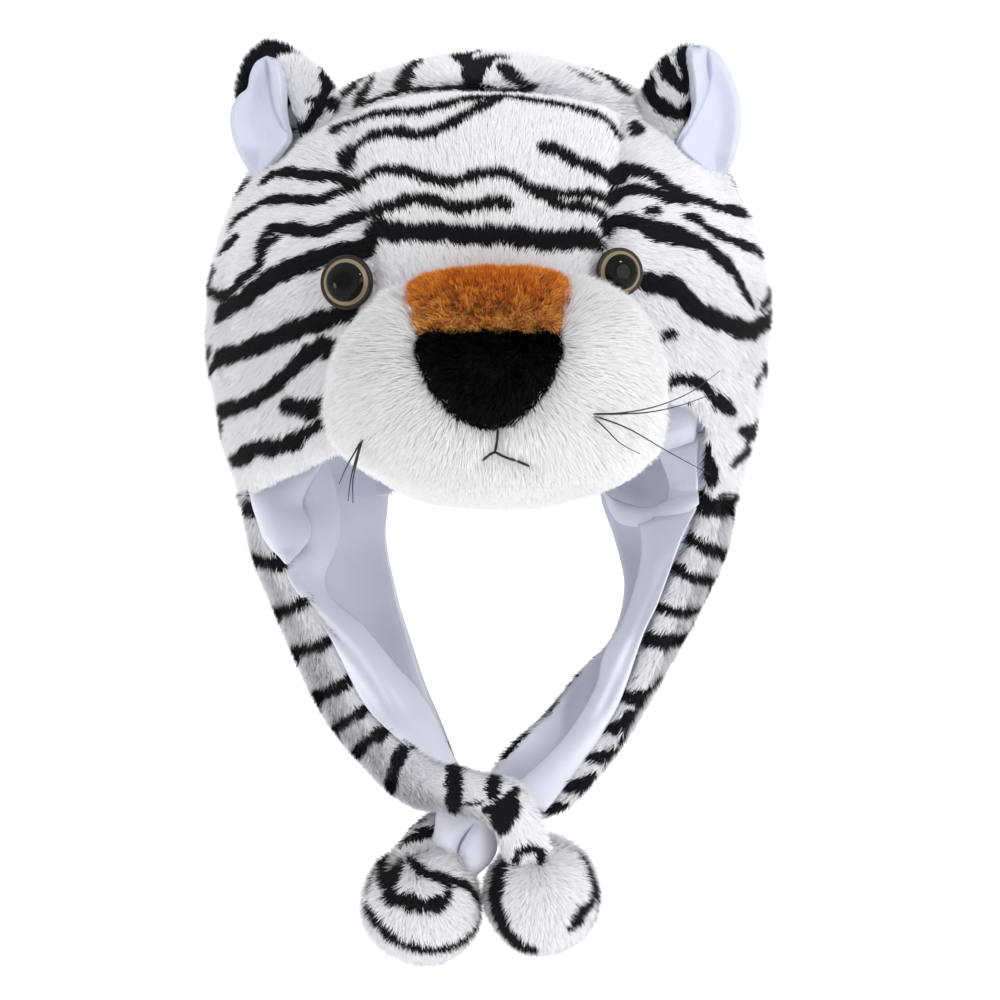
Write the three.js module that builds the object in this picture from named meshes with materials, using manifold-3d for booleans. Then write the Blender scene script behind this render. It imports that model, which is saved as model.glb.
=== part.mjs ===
// A plush tiger earflap hat: a hood of four fur-fabric panels with a knit lining, a stuffed muzzle,
// two cupped ears, plastic eyes, and two long earflaps that taper to ties, cross in a knot under the
// chin and end in plush balls. Millimetres, +Z up, the face looks along -Y. The origin is the top of
// the inside of the hood, where the hat rests on a head.
import * as THREE from "three";
import { mergeVertices } from "three/addons/utils/BufferGeometryUtils.js";
import Module from "manifold-3d";

const wasm = await Module();
wasm.setup();

// Driving dimensions
const gap = 0.3; // between neighbouring pieces
const plushThick = 8; // backing and pile of the hood's fur fabric
const liningThick = 1.7;
const hood = { side: 108, front: 106, back: 110, top: 98, drop: 150, centreZ: -88 };
const hoodColumns = 36;
const hoodCutZ = -158; // the flaps hang from this level
const muzzle = { x: 2.8, z: -125, left: 60.5, right: 60.5, up: 48, down: 39 };
const patchThick = 5; // nose and bridge pieces set into the muzzle
const eyeRadius = 10;
const finestEdge = 0.08; // cuts leave no edge shorter than about this
const pompomRadius = { left: 22.4, right: 21.5 };
const ballSeat = 1; // how far outside its ball a tie's end has its corners; its faces come closer
const tieEndClear = 5; // between the ball and the last section before the tie's end

const vector = (x, y, z) => new THREE.Vector3(x, y, z);
const degrees = THREE.MathUtils.degToRad;

// Solids from rings of points, and booleans on them

// A closed surface through rings of equal length; a ring of one point is a pole. Any other end is
// closed by a ladder of faces across the ring.
function ringsGeometry(rings) {
  const count = Math.max(...rings.map((ring) => ring.length));
  const positions = [];
  const push = (...points) => points.forEach((p) => positions.push(p.x, p.y, p.z));
  const at = (ring, i) => ring[ring.length === 1 ? 0 : i % count];
  for (let k = 0; k + 1 < rings.length; k++) {
    const [low, high] = [rings[k], rings[k + 1]];
    for (let i = 0; i < count; i++) {
      if (low.length > 1) push(at(low, i), at(low, i + 1), at(high, i));
      if (high.length > 1) push(at(low, i + 1), at(high, i + 1), at(high, i));
    }
  }
  for (const end of [[...rings[0]].reverse(), rings[rings.length - 1]]) {
    for (let low = 0, high = end.length - 1; low + 1 < high; low++, high--) {
      push(end[low], end[low + 1], end[high]);
      if (low + 1 < high - 1) push(end[low + 1], end[high - 1], end[high]);
    }
  }
  const geometry = new THREE.BufferGeometry();
  geometry.setAttribute("position", new THREE.Float32BufferAttribute(positions, 3));
  return geometry;
}

// A manifold solid from a closed geometry, turned outwards if it is inside out.
function solidOf(geometry) {
  const loose = geometry.index ? geometry.toNonIndexed() : geometry;
  const bare = new THREE.BufferGeometry();
  bare.setAttribute("position", loose.getAttribute("position"));
  const merged = mergeVertices(bare, 1e-4);
  const triVerts = [];
  for (let i = 0; i < merged.index.count; i += 3) {
    const [a, b, c] = [0, 1, 2].map((k) => merged.index.getX(i + k));
    if (a !== b && b !== c && c !== a) triVerts.push(a, b, c);
  }
  const build = (faces) =>
    new wasm.Manifold(
      new wasm.Mesh({
        numProp: 3,
        vertProperties: new Float32Array(merged.attributes.position.array),
        triVerts: new Uint32Array(faces),
      }),
    );
  const solid = build(triVerts);
  return solid.volume() > 0 ? solid : build(triVerts.reverse());
}

function geometryOf(solid) {
  const mesh = solid.getMesh();
  const geometry = new THREE.BufferGeometry();
  geometry.setAttribute("position", new THREE.Float32BufferAttribute(mesh.vertProperties, 3));
  geometry.setIndex([...mesh.triVerts]);
  geometry.computeVertexNormals();
  return geometry;
}

const ringsSolid = (rings) => solidOf(ringsGeometry(rings));

// An outline of [across, up] points, extruded straight: along Y it lies in XZ, along X in YZ,
// along Z in XY.
function prism(points, along, from, to) {
  const shape = new THREE.Shape(points.map(([a, b]) => new THREE.Vector2(a, b)));
  const geometry = new THREE.ExtrudeGeometry(shape, { depth: to - from, bevelEnabled: false });
  geometry.translate(0, 0, from);
  const place = {
    z: new THREE.Matrix4(),
    y: new THREE.Matrix4().set(1, 0, 0, 0, 0, 0, 1, 0, 0, 1, 0, 0, 0, 0, 0, 1),
    x: new THREE.Matrix4().set(0, 0, 1, 0, 1, 0, 0, 0, 0, 1, 0, 0, 0, 0, 0, 1),
  }[along];
  geometry.applyMatrix4(place);
  return solidOf(geometry);
}

// A solid whose edges under the finest length are each drawn together into one corner.
function withoutTinyEdges(solid) {
  const { vertProperties, triVerts } = solid.getMesh();
  const corner = (i) => vector(...vertProperties.subarray(3 * i, 3 * i + 3));
  const joined = Array.from({ length: vertProperties.length / 3 }, (_, i) => i);
  const meetingAt = (i) => (joined[i] === i ? i : meetingAt(joined[i]));
  const faces = Array.from({ length: triVerts.length / 3 }, (_, f) => [
    ...triVerts.subarray(3 * f, 3 * f + 3),
  ]);
  for (const [a, b, c] of faces) {
    for (const [from, to] of [[a, b], [b, c], [c, a]]) {
      const [low, high] = [meetingAt(from), meetingAt(to)].sort((p, q) => p - q);
      if (low !== high && corner(low).distanceTo(corner(high)) < finestEdge) joined[high] = low;
    }
  }
  const kept = faces.map((face) => face.map(meetingAt)).filter((face) => new Set(face).size === 3);
  const used = [...new Set(kept.flat())];
  const place = new Map(used.map((old, now) => [old, now]));
  return new wasm.Manifold(
    new wasm.Mesh({
      numProp: 3,
      vertProperties: new Float32Array(used.flatMap((i) => corner(i).toArray())),
      triVerts: new Uint32Array(kept.flat().map((i) => place.get(i))),
    }),
  );
}

// The largest body of a solid, without the slivers that a cut may leave.
function mainBody(solid) {
  return withoutTinyEdges(solid.decompose().sort((a, b) => b.volume() - a.volume())[0]);
}

// Hood

// The hood's egg shape, grown by some millimetres, from its crown down to below its rim.
function hoodEgg(grow) {
  const heights = [];
  for (let step = 0; step <= 4; step++) heights.push(-34 + 8.5 * step); // degrees below the middle
  for (let step = 1; step < 9; step++) heights.push(10 * step);
  const rings = heights.map((height) => {
    const out = Math.cos(degrees(height));
    const z = hood.centreZ + ((height < 0 ? hood.drop : hood.top) + grow) * Math.sin(degrees(height));
    return Array.from({ length: hoodColumns }, (_, i) => {
      const turn = (2 * Math.PI * i) / hoodColumns;
      const deep = (Math.sin(turn) < 0 ? hood.front : hood.back) + grow;
      return vector((hood.side + grow) * out * Math.cos(turn), deep * out * Math.sin(turn), z);
    });
  });
  return ringsSolid([...rings, [vector(0, 0, hood.centreZ + hood.top + grow)]]);
}

// The front hem, seen from the front: it is higher on the wearer's left, which is +X.
const frontHem = [
  [-130, hoodCutZ], [-93, -157], [-76, -151], [-57, -143.5], [-34, -138], [0, -133], [34, -127],
  [65, -123.5], [80, -125.5], [85, -133], [86, hoodCutZ], [130, hoodCutZ],
];
// The neck's hem, seen from behind, dips where the flaps hang from it.
const neckHem = [[-130, hoodCutZ], [-42, hoodCutZ], [-26, -152], [0, -150], [26, -152], [47, hoodCutZ],
  [130, hoodCutZ]];

function belowHems() {
  const close = (hem) => [...hem, [130, -260], [-130, -260]];
  return prism(close(frontHem), "y", -200, 0).add(prism(close(neckHem), "y", 0, 200));
}

// The forehead gusset, seen from the front, widens upwards; its back edge curves over the crown.
const foreheadEdge = [
  { z: 40, half: 52 }, { z: -12, half: 51 }, { z: -40, half: 49 }, { z: -75, half: 41.5 },
  { z: -105, half: 37 }, { z: -260, half: 32 },
];
const foreheadBack = [[-60, -43], [-30, -53], [0, -58], [30, -53], [60, -43]];

function foreheadRegion(grow) {
  const side = foreheadEdge.map(({ z, half }) => [half + grow, z]);
  const outline = [...side, ...[...side].reverse().map(([x, z]) => [-x, z])];
  const plan = [...foreheadBack.map(([x, y]) => [x, y + grow]), [60, -300], [-60, -300]];
  return prism(outline, "y", -250, 0).intersect(prism(plan, "z", -250, 60));
}

// The back panel lies behind the gusset, and at the sides behind a seam that slants from the crown
// to behind the ears.
function backRegion(grow) {
  const seam = [[-43 - grow, 60], [-43 - grow, -8], [40 - grow, hoodCutZ], [40 - grow, -260]];
  const crown = [...foreheadBack.map(([x, y]) => [x, y - grow]), [60, 40], [-60, 40]];
  return prism([...seam, [260, -260], [260, 60]], "x", -200, 200).add(prism(crown, "z", -40, 60));
}

// Muzzle

// Its sections from the hood to the tip: how far forward, what share of the outline, how far down.
const muzzleSections = [
  { y: -60, share: 0.8, down: 0 }, { y: -88, share: 0.86, down: 0 }, { y: -100, share: 0.97, down: 0 },
  { y: -114, share: 1, down: 0.5 }, { y: -130, share: 0.965, down: 1.5 }, { y: -146, share: 0.87, down: 3 },
  { y: -160, share: 0.71, down: 4 }, { y: -170, share: 0.49, down: 4 }, { y: -176, share: 0.25, down: 3 },
];
const muzzleTip = { y: -178, down: 2 };
const muzzleColumns = 28;
// How square each quarter of the outline is, from right and up, anticlockwise.
const muzzleSquareness = [2.7, 2.15, 1.9, 2.3];

function muzzleBody(grow) {
  const rings = muzzleSections.map(({ y, share, down }) =>
    Array.from({ length: muzzleColumns }, (_, i) => {
      const turn = (2 * Math.PI * i) / muzzleColumns;
      const power = 2 / muzzleSquareness[Math.floor((4 * i) / muzzleColumns)];
      const [c, s] = [Math.cos(turn), Math.sin(turn)];
      const across = (c < 0 ? muzzle.left : muzzle.right) * share + grow;
      const up = (s < 0 ? muzzle.down : muzzle.up) * share + grow;
      return vector(
        muzzle.x + across * Math.sign(c) * Math.abs(c) ** power,
        y - (grow * -y) / -muzzleTip.y,
        muzzle.z - down + up * Math.sign(s) * Math.abs(s) ** power,
      );
    }),
  );
  return ringsSolid([...rings, [vector(muzzle.x, muzzleTip.y - grow, muzzle.z - muzzleTip.down)]]);
}

const noseOutline = [
  [-24.8, -104], [25.7, -104], [27, -109.5], [23, -119], [17.3, -127], [9.5, -134.4], [1.1, -137],
  [-8.3, -134.4], [-16.4, -127], [-22.4, -118], [-25.8, -109.5],
];
const bridgeOutline = [[-30, -74], [28.2, -74], [27.4, -90], [25.8, -103.7], [-24.2, -103.7], [-28.4, -91]];

// An outline pushed outwards from its middle by about the given distance.
function grown(outline, by) {
  const middle = outline.reduce((sum, p) => [sum[0] + p[0], sum[1] + p[1]], [0, 0]);
  const [cx, cz] = middle.map((total) => total / outline.length);
  return outline.map(([x, z]) => {
    const far = Math.hypot(x - cx, z - cz);
    return [x + ((x - cx) / far) * by, z + ((z - cz) / far) * by];
  });
}

function muzzlePatch(outline, proud) {
  const skin = muzzleBody(proud).subtract(muzzleBody(-patchThick));
  return skin.intersect(prism(outline, "y", -220, -90));
}

// Ears

// An ear is a round flap folded forwards round its own base into a cup that opens outwards. Its rim
// is highest midway across, and falls in a round shoulder to both sides.
const ear = {
  height: 42, sunk: 16, baseX: 15, baseY: 8, wideX: 21, wideY: 12, sweep: 128, thick: 5, shoulder: 0.82,
};
const earFelt = 1.2;
const earColumns = 14;
const earRows = 4;

// A wall of the ear between two insets from its outer face, trimmed back from the rim.
function earWall(outer, inner, trim) {
  const surface = (inset, rimTrim) =>
    Array.from({ length: earColumns + 1 }, (_, i) => {
      const share = (2 * i) / earColumns - 1;
      const angle = degrees(45 + share * (ear.sweep - 1.6 * rimTrim));
      const top = Math.sqrt(1 - ear.shoulder * Math.cos(angle) ** 2) * ear.height - rimTrim;
      return Array.from({ length: earRows + 1 }, (_, k) => {
        const z = -ear.sunk + (top + ear.sunk) * (k / earRows);
        const up = Math.max(0, z) / ear.height;
        const bulge = Math.sin(Math.PI * (0.15 + 0.6 * up));
        const x = (ear.baseX + (ear.wideX - ear.baseX) * bulge - inset) * Math.cos(angle);
        const y = (ear.baseY + (ear.wideY - ear.baseY) * bulge - inset) * Math.sin(angle);
        return vector(x, y, z);
      });
    });
  const [outside, inside] = [surface(outer, trim), surface(inner, trim)];
  const rings = outside.map((column, i) => [...column, ...[...inside[i]].reverse()]);
  return ringsSolid(rings);
}

// Flaps

// Each row is one cross-section of a flap: its front edge, its keel and its back edge on the outer
// face, and the plush's thickness there. The last rows are the tie's end.
const leftFlapRows = [
  { front: [-92, -24, -158.3], keel: [-86.6, 40.7, -158.3], back: [-42, 87, -158.3], thick: 8 },
  { front: [-86, -30, -177], keel: [-85, 29, -184], back: [-42.5, 83, -176], thick: 8 },
  { front: [-72, -36, -198], keel: [-77, 13, -206], back: [-37, 69, -200], thick: 7.5 },
  { front: [-60, -41, -214], keel: [-66.5, 0, -225], back: [-31, 52, -216], thick: 7 },
  { front: [-52, -45, -230], keel: [-56, -18, -243], back: [-24, 30, -233], thick: 6.5 },
  { front: [-44, -49, -242], keel: [-44, -33, -258], back: [-17, 8, -246], thick: 6 },
  { front: [-33, -56, -250], keel: [-31, -51, -270], back: [-12, -23, -254], thick: 5 },
  { front: [-19, -64, -257], keel: [-18, -63, -276], back: [-9, -48, -259], thick: 4.5 },
  { front: [-4, -70, -260], keel: [-4, -71, -279], back: [0, -56, -261], thick: 4 },
  { front: [9, -72, -263], keel: [3, -73, -281], back: [11, -58, -263], thick: 4 },
  { front: [20, -68, -274], keel: [7, -69, -287], back: [20, -54, -275], thick: 4 },
  { front: [26, -60, -290], keel: [13, -60, -297], back: [24, -47, -291], thick: 4 },
];
const rightFlapRows = [
  { front: [86, -40, -158.3], keel: [90.7, 30, -158.3], back: [47, 84.6, -158.3], thick: 8 },
  { front: [85, -38, -172], keel: [89, 18, -181], back: [52, 76, -177], thick: 8 },
  { front: [76, -42, -191], keel: [81.5, 5, -203], back: [55, 56, -196], thick: 7.5 },
  { front: [68, -46, -211], keel: [72, -8, -223], back: [50, 34, -215], thick: 7 },
  { front: [60, -48, -230], keel: [59.5, -20, -243], back: [37, 13, -228], thick: 6.5 },
  { front: [49, -49, -252], keel: [45, -34, -261], back: [24, -8, -241], thick: 6 },
  { front: [34, -44, -270], keel: [29, -30, -274], back: [10, -16, -252], thick: 5 },
  { front: [20, -34, -279], keel: [13, -21, -280], back: [0, -15, -262], thick: 4.5 },
  { front: [6, -34, -288], keel: [-2, -23, -284], back: [-9, -25, -268], thick: 4 },
  { front: [-3, -41, -296], keel: [-13, -31, -289], back: [-22, -40, -279], thick: 4 },
  { front: [-13, -49, -304], keel: [-23, -40, -297], back: [-31, -50, -288], thick: 4 },
];
// Soft puffs of the lining where it is gathered to the hem: where along and across the flap they
// stand, how far they reach, and how high.
const liningPuffs = [
  { along: 0.06, across: 0.12, reach: 0.1, spread: 0.16, high: 9 },
  { along: 0.2, across: 0.3, reach: 0.12, spread: 0.12, high: 6 },
  { along: 0.34, across: 0.52, reach: 0.16, spread: 0.1, high: 4 },
];
const flapSteps = 21;
// Where across a section the lining's outer face and the plush behind it have their points.
const liningShares = [0.07, 0.2, 0.35, 0.5, 0.65, 0.8, 0.93];

// The circular arc through three points, as a function from 0 to 1 giving point and outward normal.
function arcThrough(start, middle, end) {
  const [a, b] = [middle.clone().sub(start), end.clone().sub(start)];
  const axis = a.clone().cross(b);
  const toCentre = axis.clone().cross(a).multiplyScalar(b.lengthSq());
  toCentre.add(b.clone().cross(axis).multiplyScalar(a.lengthSq()));
  const centre = start.clone().add(toCentre.divideScalar(2 * axis.lengthSq()));
  const [toStart, toEnd] = [start.clone().sub(centre), end.clone().sub(centre)];
  const normal = axis.clone().normalize();
  const turn = Math.atan2(toStart.clone().cross(toEnd).dot(normal), toStart.dot(toEnd));
  const whole = turn < 0 ? turn + 2 * Math.PI : turn;
  return (share) => {
    const out = toStart.clone().applyAxisAngle(normal, whole * share);
    return { point: centre.clone().add(out), out: out.normalize() };
  };
}

// The sections of a flap that lie clear of its ball, and then the one at its end.
function flapSections(rows, ball) {
  const curve = (key) => new THREE.CatmullRomCurve3(rows.map((row) => vector(...row[key])));
  const curves = ["front", "keel", "back"].map(curve);
  const sections = Array.from({ length: flapSteps + 1 }, (_, k) => {
    const along = k / flapSteps;
    const place = along * (rows.length - 1);
    const [below, above] = [rows[Math.floor(place)], rows[Math.ceil(place)]];
    const thick = THREE.MathUtils.lerp(below.thick, above.thick, place % 1);
    const edges = curves.map((c) => c.getPoint(along));
    const near = Math.min(...edges.map((p) => p.distanceTo(ball.centre))) < ball.radius + tieEndClear;
    return { along, thick, near, keel: edges[1], arc: arcThrough(...edges) };
  });
  return [...sections.filter(({ near }) => !near), sections[flapSteps]];
}

// Points across a section at the given shares, at a depth under the outer face.
function across(arc, shares, depthAt) {
  return shares.map((share) => {
    const { point, out } = arc(share);
    return point.sub(out.multiplyScalar(depthAt(share)));
  });
}

const backToFront = [...liningShares].reverse();

// A solid through rings at a flap's sections. Its end is slid back along the tie until it lies on
// the ball.
function flapSolid(sections, rings, ball) {
  const [before, last] = sections.slice(-2);
  const along = last.keel.clone().sub(before.keel).normalize();
  const slidBack = (p) => {
    const fromCentre = p.clone().sub(ball.centre);
    const passed = fromCentre.dot(along);
    const back = passed + Math.sqrt(passed ** 2 - fromCentre.lengthSq() + ball.radius ** 2);
    return p.clone().addScaledVector(along, -back);
  };
  return ringsSolid([...rings.slice(0, -1), rings[rings.length - 1].map(slidBack)]);
}

function flapPlush(rows, ball) {
  const [outerEdge, innerEdge] = [0.22, 0.78]; // shares of the thickness where the pile rolls round
  const outerShares = [0, 0.04, 0.16, 0.3, 0.43, 0.57, 0.7, 0.84, 0.96, 1];
  const sections = flapSections(rows, ball);
  const rings = sections.map(({ thick, arc }) => {
    const outer = across(arc, outerShares, (share) => (share % 1 === 0 ? outerEdge * thick : 0));
    const inner = across(arc, [1, ...backToFront, 0], (share) => thick * (share % 1 === 0 ? innerEdge : 1));
    return [...outer, ...inner];
  });
  return flapSolid(sections, rings, ball);
}

function flapLining(rows, ball) {
  const puffAt = (along, share) =>
    liningPuffs.reduce((high, puff) => {
      const far = ((along - puff.along) / puff.reach) ** 2 + ((share - puff.across) / puff.spread) ** 2;
      return high + puff.high * Math.exp(-far);
    }, 0);
  const sections = flapSections(rows, ball);
  const rings = sections.map(({ along, thick, arc }) => {
    const skin = along > 0.6 ? 1 : liningThick - 0.2;
    const face = thick + gap;
    const outer = across(arc, backToFront, () => face);
    const inner = across(arc, liningShares, (share) => face + skin + puffAt(along, share));
    return [...outer, ...inner];
  });
  return flapSolid(sections, rings, ball);
}

// Plush balls

// A ball whose fur stands in low staggered locks.
function pompomSolid(radius, lockHeight) {
  const [columns, rows] = [20, 11];
  const rings = [];
  for (let k = 1; k < rows; k++) {
    const polar = (Math.PI * k) / rows;
    rings.push(
      Array.from({ length: columns }, (_, i) => {
        const r = radius - ((i + k) % 2) * lockHeight;
        const turn = (2 * Math.PI * i) / columns;
        const out = r * Math.sin(polar);
        return vector(out * Math.cos(turn), out * Math.sin(turn), r * Math.cos(polar));
      }),
    );
  }
  return ringsSolid([[vector(0, 0, radius)], ...rings, [vector(0, 0, -radius)]]);
}

// Eyes

// A domed plastic eye on its post, turned from half its profile; the dome looks along +Y.
const eyePost = { radius: 3, long: 5 };
const eyeRim = { high: 1.4, wide: 1 };
const eyeDome = { high: 5, steps: 4, from: 20 }; // from this many degrees up to the top
const eyeSides = 16;

function eyeSolid(grow) {
  const radius = eyeRadius + grow;
  const post = { radius: eyePost.radius + grow, foot: -eyePost.long - grow };
  const rise = (i) => degrees(eyeDome.from + ((90 - eyeDome.from) * i) / eyeDome.steps);
  const dome = Array.from({ length: eyeDome.steps }, (_, i) => [
    (radius - eyeRim.wide) * Math.cos(rise(i)),
    eyeDome.high * Math.sin(rise(i)) + grow,
  ]);
  const profile = [
    [0, post.foot], [post.radius, post.foot], [post.radius, -grow], [radius, -grow],
    [radius, eyeRim.high + grow], ...dome, [0, eyeDome.high + grow],
  ];
  return solidOf(new THREE.LatheGeometry(profile.map(([x, y]) => new THREE.Vector2(x, y)), eyeSides));
}

// Materials
const finish = (color, roughness) => new THREE.MeshStandardMaterial({ color, roughness, metalness: 0 });
const stripedPlush = finish(0xe6e6ec, 0.95);
const whitePlush = finish(0xf0f0f0, 0.95);
const brownPlush = finish(0xb0621c, 0.95);
const blackPlush = finish(0x17171a, 0.95);
const knit = finish(0xd6daec, 0.85);
const eyePlastic = finish(0x1c1a18, 0.12);

// Assembly
const hat = new THREE.Group();

function place(parent, name, solid, material, { at = [0, 0, 0], turn = [0, 0, 0] } = {}) {
  const mesh = new THREE.Mesh(geometryOf(solid), material);
  mesh.name = name;
  mesh.position.set(...at);
  mesh.rotation.set(...turn.map(degrees));
  parent.add(mesh);
}

function placeMatrix({ at, turn }) {
  const matrix = new THREE.Matrix4().makeRotationFromEuler(new THREE.Euler(...turn.map(degrees)));
  return matrix.setPosition(...at);
}

// A piece's solid brought into the hat's frame, and one of the hat's frame seen from a placed piece.
const inHat = (solid, piece) => solid.transform([...placeMatrix(piece).elements]);
const seenFrom = (solid, piece) => solid.transform([...placeMatrix(piece).invert().elements]);

const eyePlaces = {
  left: { at: [-49.8, -95.5, -82], turn: [0, 0, 163] },
  right: { at: [47.5, -96, -78.5], turn: [0, 0, 199] },
};
const earPlaces = {
  left: { at: [-71, -33, -28], turn: [4, -17, 0] },
  right: { at: [74, -33, -30], turn: [4, 8, 0] },
};
const pompomPlaces = {
  left: { at: [-24.5, -50, -308.4], turn: [0, 20, 0] },
  right: { at: [20.7, -50, -304.7], turn: [0, -20, 0] },
};

const eyePockets = inHat(eyeSolid(gap), eyePlaces.left).add(inHat(eyeSolid(gap), eyePlaces.right));
const hems = belowHems();
const plushShell = hoodEgg(0).subtract(hoodEgg(-plushThick)).subtract(hems).subtract(eyePockets);
const sides = plushShell.subtract(foreheadRegion(gap)).subtract(backRegion(gap));
const back = plushShell.intersect(backRegion(0)).subtract(foreheadRegion(gap));
const half = (x0, x1) => prism([[x0, -300], [x1, -300], [x1, 300], [x0, 300]], "z", -300, 100);
place(hat, "forehead_panel", mainBody(plushShell.intersect(foreheadRegion(0))), stripedPlush);
place(hat, "side_panel_left", mainBody(sides.intersect(half(-200, 0))), stripedPlush);
place(hat, "side_panel_right", mainBody(sides.intersect(half(0, 200))), stripedPlush);
place(hat, "back_panel", mainBody(back), stripedPlush);
const innerShell = hoodEgg(-plushThick - gap).subtract(hoodEgg(-plushThick - gap - liningThick));
place(hat, "hood_lining", mainBody(innerShell.subtract(hems).subtract(eyePockets)), knit);

const patchWell = prism(grown(noseOutline, gap), "y", -220, -90)
  .add(prism(grown(bridgeOutline, gap), "y", -220, -90))
  .subtract(muzzleBody(-patchThick - gap));
const hoodClear = hoodEgg(gap);
const stuffing = muzzleBody(0).subtract(patchWell).subtract(hoodClear).subtract(eyePockets);
place(hat, "muzzle", mainBody(stuffing), whitePlush);
place(hat, "nose", mainBody(muzzlePatch(noseOutline, 0.8)), blackPlush);
const bridge = muzzlePatch(bridgeOutline, 0.5).subtract(hoodClear);
place(hat, "nose_bridge", mainBody(bridge), brownPlush);

for (const [side, eyePlace] of Object.entries(eyePlaces)) {
  place(hat, "eye_" + side, eyeSolid(0), eyePlastic, eyePlace);
}

// The right ear is the left one mirrored.
for (const [side, earPlace] of Object.entries(earPlaces)) {
  const mirrored = (solid) => (side === "left" ? solid : solid.mirror([1, 0, 0]));
  const crown = seenFrom(hoodClear, earPlace);
  const plush = mirrored(earWall(0, ear.thick, 0)).subtract(crown);
  const felt = mirrored(earWall(ear.thick + 2 * gap, ear.thick + 2 * gap + earFelt, 2.5)).subtract(crown);
  place(hat, "ear_" + side, mainBody(plush), stripedPlush, earPlace);
  place(hat, "ear_lining_" + side, mainBody(felt), knit, earPlace);
}

for (const [side, rows] of [["left", leftFlapRows], ["right", rightFlapRows]]) {
  const farBall = side === "left" ? "right" : "left";
  const ball = { centre: vector(...pompomPlaces[farBall].at), radius: pompomRadius[farBall] + ballSeat };
  place(hat, "earflap_" + side, flapPlush(rows, ball), stripedPlush);
  place(hat, "earflap_lining_" + side, flapLining(rows, ball), knit);
  const ownBall = pompomSolid(pompomRadius[side], 0.7);
  place(hat, "pompom_" + side, ownBall, stripedPlush, pompomPlaces[side]);
}

export default hat;
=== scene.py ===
import math

import bmesh
import bpy
import numpy as np
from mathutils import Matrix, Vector
from mathutils.bvhtree import BVHTree


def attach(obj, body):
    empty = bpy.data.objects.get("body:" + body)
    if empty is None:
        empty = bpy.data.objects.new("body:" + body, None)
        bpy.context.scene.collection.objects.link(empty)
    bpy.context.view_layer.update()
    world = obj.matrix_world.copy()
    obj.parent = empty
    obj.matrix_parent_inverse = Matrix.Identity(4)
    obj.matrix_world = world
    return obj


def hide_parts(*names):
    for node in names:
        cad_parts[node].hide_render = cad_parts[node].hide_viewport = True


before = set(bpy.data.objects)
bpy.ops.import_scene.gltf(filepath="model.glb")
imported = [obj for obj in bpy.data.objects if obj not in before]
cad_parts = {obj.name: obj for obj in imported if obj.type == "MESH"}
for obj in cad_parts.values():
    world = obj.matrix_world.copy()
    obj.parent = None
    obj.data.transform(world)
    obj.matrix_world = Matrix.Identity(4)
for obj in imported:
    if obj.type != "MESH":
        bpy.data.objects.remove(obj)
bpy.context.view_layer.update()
mm = 0.001  # every length below is in millimetres until its mesh is made


# Camera, floor and light

view = {"eye": (4.5, -1500, -160), "perPixel": 0.38, "pixels": 1000, "sensor": 36}


def makeCamera():
    data = bpy.data.cameras.new("camera")
    data.sensor_width = view["sensor"]
    data.lens = view["sensor"] * -view["eye"][1] / (view["perPixel"] * view["pixels"])
    data.clip_end = 30
    camera = bpy.data.objects.new("camera", data)
    camera.location = Vector(view["eye"]) * mm
    camera.rotation_euler = (math.radians(90), 0, 0)
    bpy.context.scene.collection.objects.link(camera)
    bpy.context.scene.camera = camera


lamps = {
    "key": {"at": (1.1, -1.3, 0.0), "aim": (0, 0, -0.16), "wide": 1.0, "watts": 6},
    "fill": {"at": (-1.3, -0.9, -0.2), "aim": (0, 0, -0.26), "wide": 0.3, "watts": 1.6},
    "glint": {"at": (0.8, -1.15, 0.75), "aim": (0, -0.05, -0.1), "wide": 0.16, "watts": 4},
}  # in metres
skyLight = 0.86


def makeLights():
    for name, lamp in lamps.items():
        data = bpy.data.lights.new(name, "AREA")
        data.shape = "DISK"
        data.size = lamp["wide"]
        data.energy = lamp["watts"]
        obj = bpy.data.objects.new(name, data)
        obj.location = lamp["at"]
        obj.rotation_euler = (Vector(lamp["aim"]) - Vector(lamp["at"])).to_track_quat("-Z", "Y").to_euler()
        bpy.context.scene.collection.objects.link(obj)
    world = bpy.data.worlds.new("studio")
    world.use_nodes = True
    world.node_tree.nodes["Background"].inputs["Color"].default_value = (1, 1, 1, 1)
    world.node_tree.nodes["Background"].inputs["Strength"].default_value = skyLight
    bpy.context.scene.world = world
    bpy.context.scene.view_settings.view_transform = "Standard"


# Mesh helpers: points are rows of an array, faces are lists of point numbers

def unit(vectors):
    return vectors / np.maximum(np.linalg.norm(vectors, axis=-1, keepdims=True), 1e-9)


def smoothStep(value, low, high):
    share = np.clip((value - low) / (high - low), 0, 1)
    return share * share * (3 - 2 * share)


def waves(points, size, seed):
    # a gentle unevenness between about -1 and 1, whose swells are as long as size
    rng = np.random.default_rng(seed)
    total = np.zeros(len(points))
    for _ in range(6):
        direction = unit(rng.normal(size=3)) / (size * rng.uniform(0.6, 1.5))
        total += np.sin(points @ direction * 2 * math.pi + rng.uniform(0, 6.28))
    return total / 3


def fanOf(faces):
    return np.array([(f[0], f[i], f[i + 1]) for f in faces for i in range(1, len(f) - 1)])


def pointNormals(points, faces):
    fan = fanOf(faces)
    a, b, c = points[fan[:, 0]], points[fan[:, 1]], points[fan[:, 2]]
    normals = np.zeros_like(points)
    for corner in range(3):
        np.add.at(normals, fan[:, corner], np.cross(b - a, c - a))
    return unit(normals)


def outwardFaces(points, faces):
    fan = fanOf(faces)
    volume = np.einsum("ij,ij->i", points[fan[:, 0]], np.cross(points[fan[:, 1]], points[fan[:, 2]])).sum()
    return faces if volume > 0 else [list(reversed(f)) for f in faces]


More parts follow.
